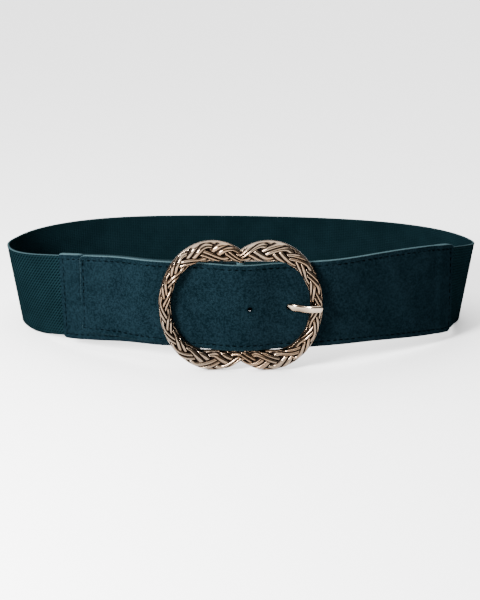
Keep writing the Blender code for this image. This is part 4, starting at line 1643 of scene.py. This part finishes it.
class BELT_OT_casting(bpy.types.Operator):
    """Makes the plaited casting, its middle bar and the prong"""

    bl_idname = "belt.casting"
    bl_label = "Buckle"

    def execute(self, context):
        layout = Layout(context.scene)
        colours = context.scene.belt_colours
        self.make_frame(layout, colours)
        metals = (colours.pale_gold, colours.gold)
        # Low values of the named attribute give the dark patina colour; on the prong's shank behind
        # the strap that is painted shade.
        plain = make_gold("pale_gold", colours, metals, "rub_and_painted_shade", *PRONG_SHINE)
        self.make_bar(layout, plain)
        self.make_prong(layout, plain)
        return {"FINISHED"}

    def make_frame(self, layout, colours):
        """The double oval, with its plait raised by the node tree."""
        buckle = layout.buckle
        metals = (colours.gold, colours.warm_gold)
        material = make_gold("aged_rose_gold", colours, metals, "relief", *FRAME_SHINE)
        points, faces, values = casting_skin(layout)
        made = new_piece("plaited_frame", points, faces, material, layout.shift)
        for name, value in zip(("along", "across", "front"), values):
            point_values(made, name, value)
        run_tree(made, plait_tree(), {
            "Relief": buckle.relief, "Sway": buckle.sway, "Strand Width": buckle.strand_width,
            "Cord Width": buckle.cord_width, "Sharpness": buckle.sharpness, "Rim": buckle.rim,
            "Material": material,
        })
        made.data.polygons.foreach_set("use_smooth", np.full(len(made.data.polygons), True))
        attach(made, "root")
        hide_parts("buckle_frame")

    def make_bar(self, layout, material):
        """The bar behind the casting, with the two lugs that hold it."""
        buckle, suede = layout.buckle, layout.suede
        rim = buckle.opening_height / 2
        reach = rim + buckle.lug_height
        trim = reach - buckle.bar_radius
        low, high = layout.middle - trim, layout.middle + trim
        points, faces = upright_round(layout.eye, buckle.bar_radius, low, high, ROD_SIDES)
        made = new_piece("middle_bar", points, faces, material, layout.shift)
        lugs = []
        half = buckle.lug_width / 2
        back = layout.eye[1] + buckle.bar_radius + suede.gap
        front = layout.back - buckle.edge / 2
        ring = np.array([(-half, front), (half, front), (half, back), (-half, back)])
        for side in (1, -1):
            ends = (layout.middle + side * (rim + suede.gap), layout.middle + side * reach)
            lugs.append(prism(ring, *sorted(ends)))
        carve(made, lugs, "UNION", layout.shift)
        bevel = made.modifiers.new("bevel", "BEVEL")
        bevel.width = BAR_BEVEL
        bevel.segments = 2
        bevel.limit_method = "ANGLE"
        bevel.angle_limit = SHARP_ANGLE
        keep_result(made)
        point_values(made, "rub_and_painted_shade", np.full(len(made.data.vertices), BAR_RUBBED))
        made.data.set_sharp_from_angle(angle=BAR_SHARP_ANGLE)
        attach(made, "root")
        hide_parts("buckle_frame")

    def make_prong(self, layout, material):
        """The prong, with its loop round the bar."""
        buckle, suede = layout.buckle, layout.suede
        points, faces, rub_and_painted_shade = prong_skin(layout)
        made = new_piece("prong_pin", points, faces, material, layout.shift)
        point_values(made, "rub_and_painted_shade", rub_and_painted_shade)
        level = layout.prong_level
        low, high = level - buckle.prong_width / 2, level + buckle.prong_width / 2
        ring_outer = layout.eye_outer - suede.gap / 2
        ring_inner = buckle.bar_radius + suede.pocket_gap
        ring = upright_round(layout.eye, ring_outer, low, high, RING_SIDES)
        low, high = low - ring_outer, high + ring_outer
        room = upright_round(layout.eye, ring_inner, low, high, RING_SIDES)
        carve(made, [ring], "UNION", layout.shift)
        carve(made, [room], "DIFFERENCE", layout.shift)
        made.data.set_sharp_from_angle(angle=SHARP_ANGLE)
        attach(made, "root")
        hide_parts("prong")


class BELT_PT_panel(bpy.types.Panel):
    """Lists the sizes, the colours and the steps that build the belt"""

    bl_idname = "BELT_PT_panel"
    bl_label = "Elastic belt"
    bl_space_type = "VIEW_3D"
    bl_region_type = "UI"
    bl_category = "Belt"

    def draw(self, context):
        for group in SETTINGS:
            box = self.layout.box()
            settings = getattr(context.scene, group)
            for name in settings.bl_rna.properties.keys():
                if name not in ("rna_type", "name"):
                    box.prop(settings, name)
        for operator in OPERATORS:
            self.layout.operator(operator.bl_idname)


SETTINGS = {
    "belt_loop": LoopSizes,
    "belt_suede": SuedeSizes,
    "belt_buckle": BuckleSizes,
    "belt_colours": BeltColours,
    "belt_stage": StageSizes,
}
OPERATORS = (
    BELT_OT_stage, BELT_OT_webbing, BELT_OT_suede_ends, BELT_OT_stitching, BELT_OT_casting,
)
CLASSES = (*SETTINGS.values(), *OPERATORS, BELT_PT_panel)


def register():
    for made in CLASSES:
        bpy.utils.register_class(made)
    for name, group in SETTINGS.items():
        setattr(bpy.types.Scene, name, PointerProperty(type=group))


def unregister():
    for name in SETTINGS:
        delattr(bpy.types.Scene, name)
    for made in reversed(CLASSES):
        bpy.utils.unregister_class(made)


def main():
    """Registers the add-on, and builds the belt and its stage."""
    register()
    bpy.ops.belt.stage()
    bpy.ops.belt.webbing()
    bpy.ops.belt.suede_ends()
    bpy.ops.belt.stitching()
    bpy.ops.belt.casting()


if __name__ == "__main__":
    main()
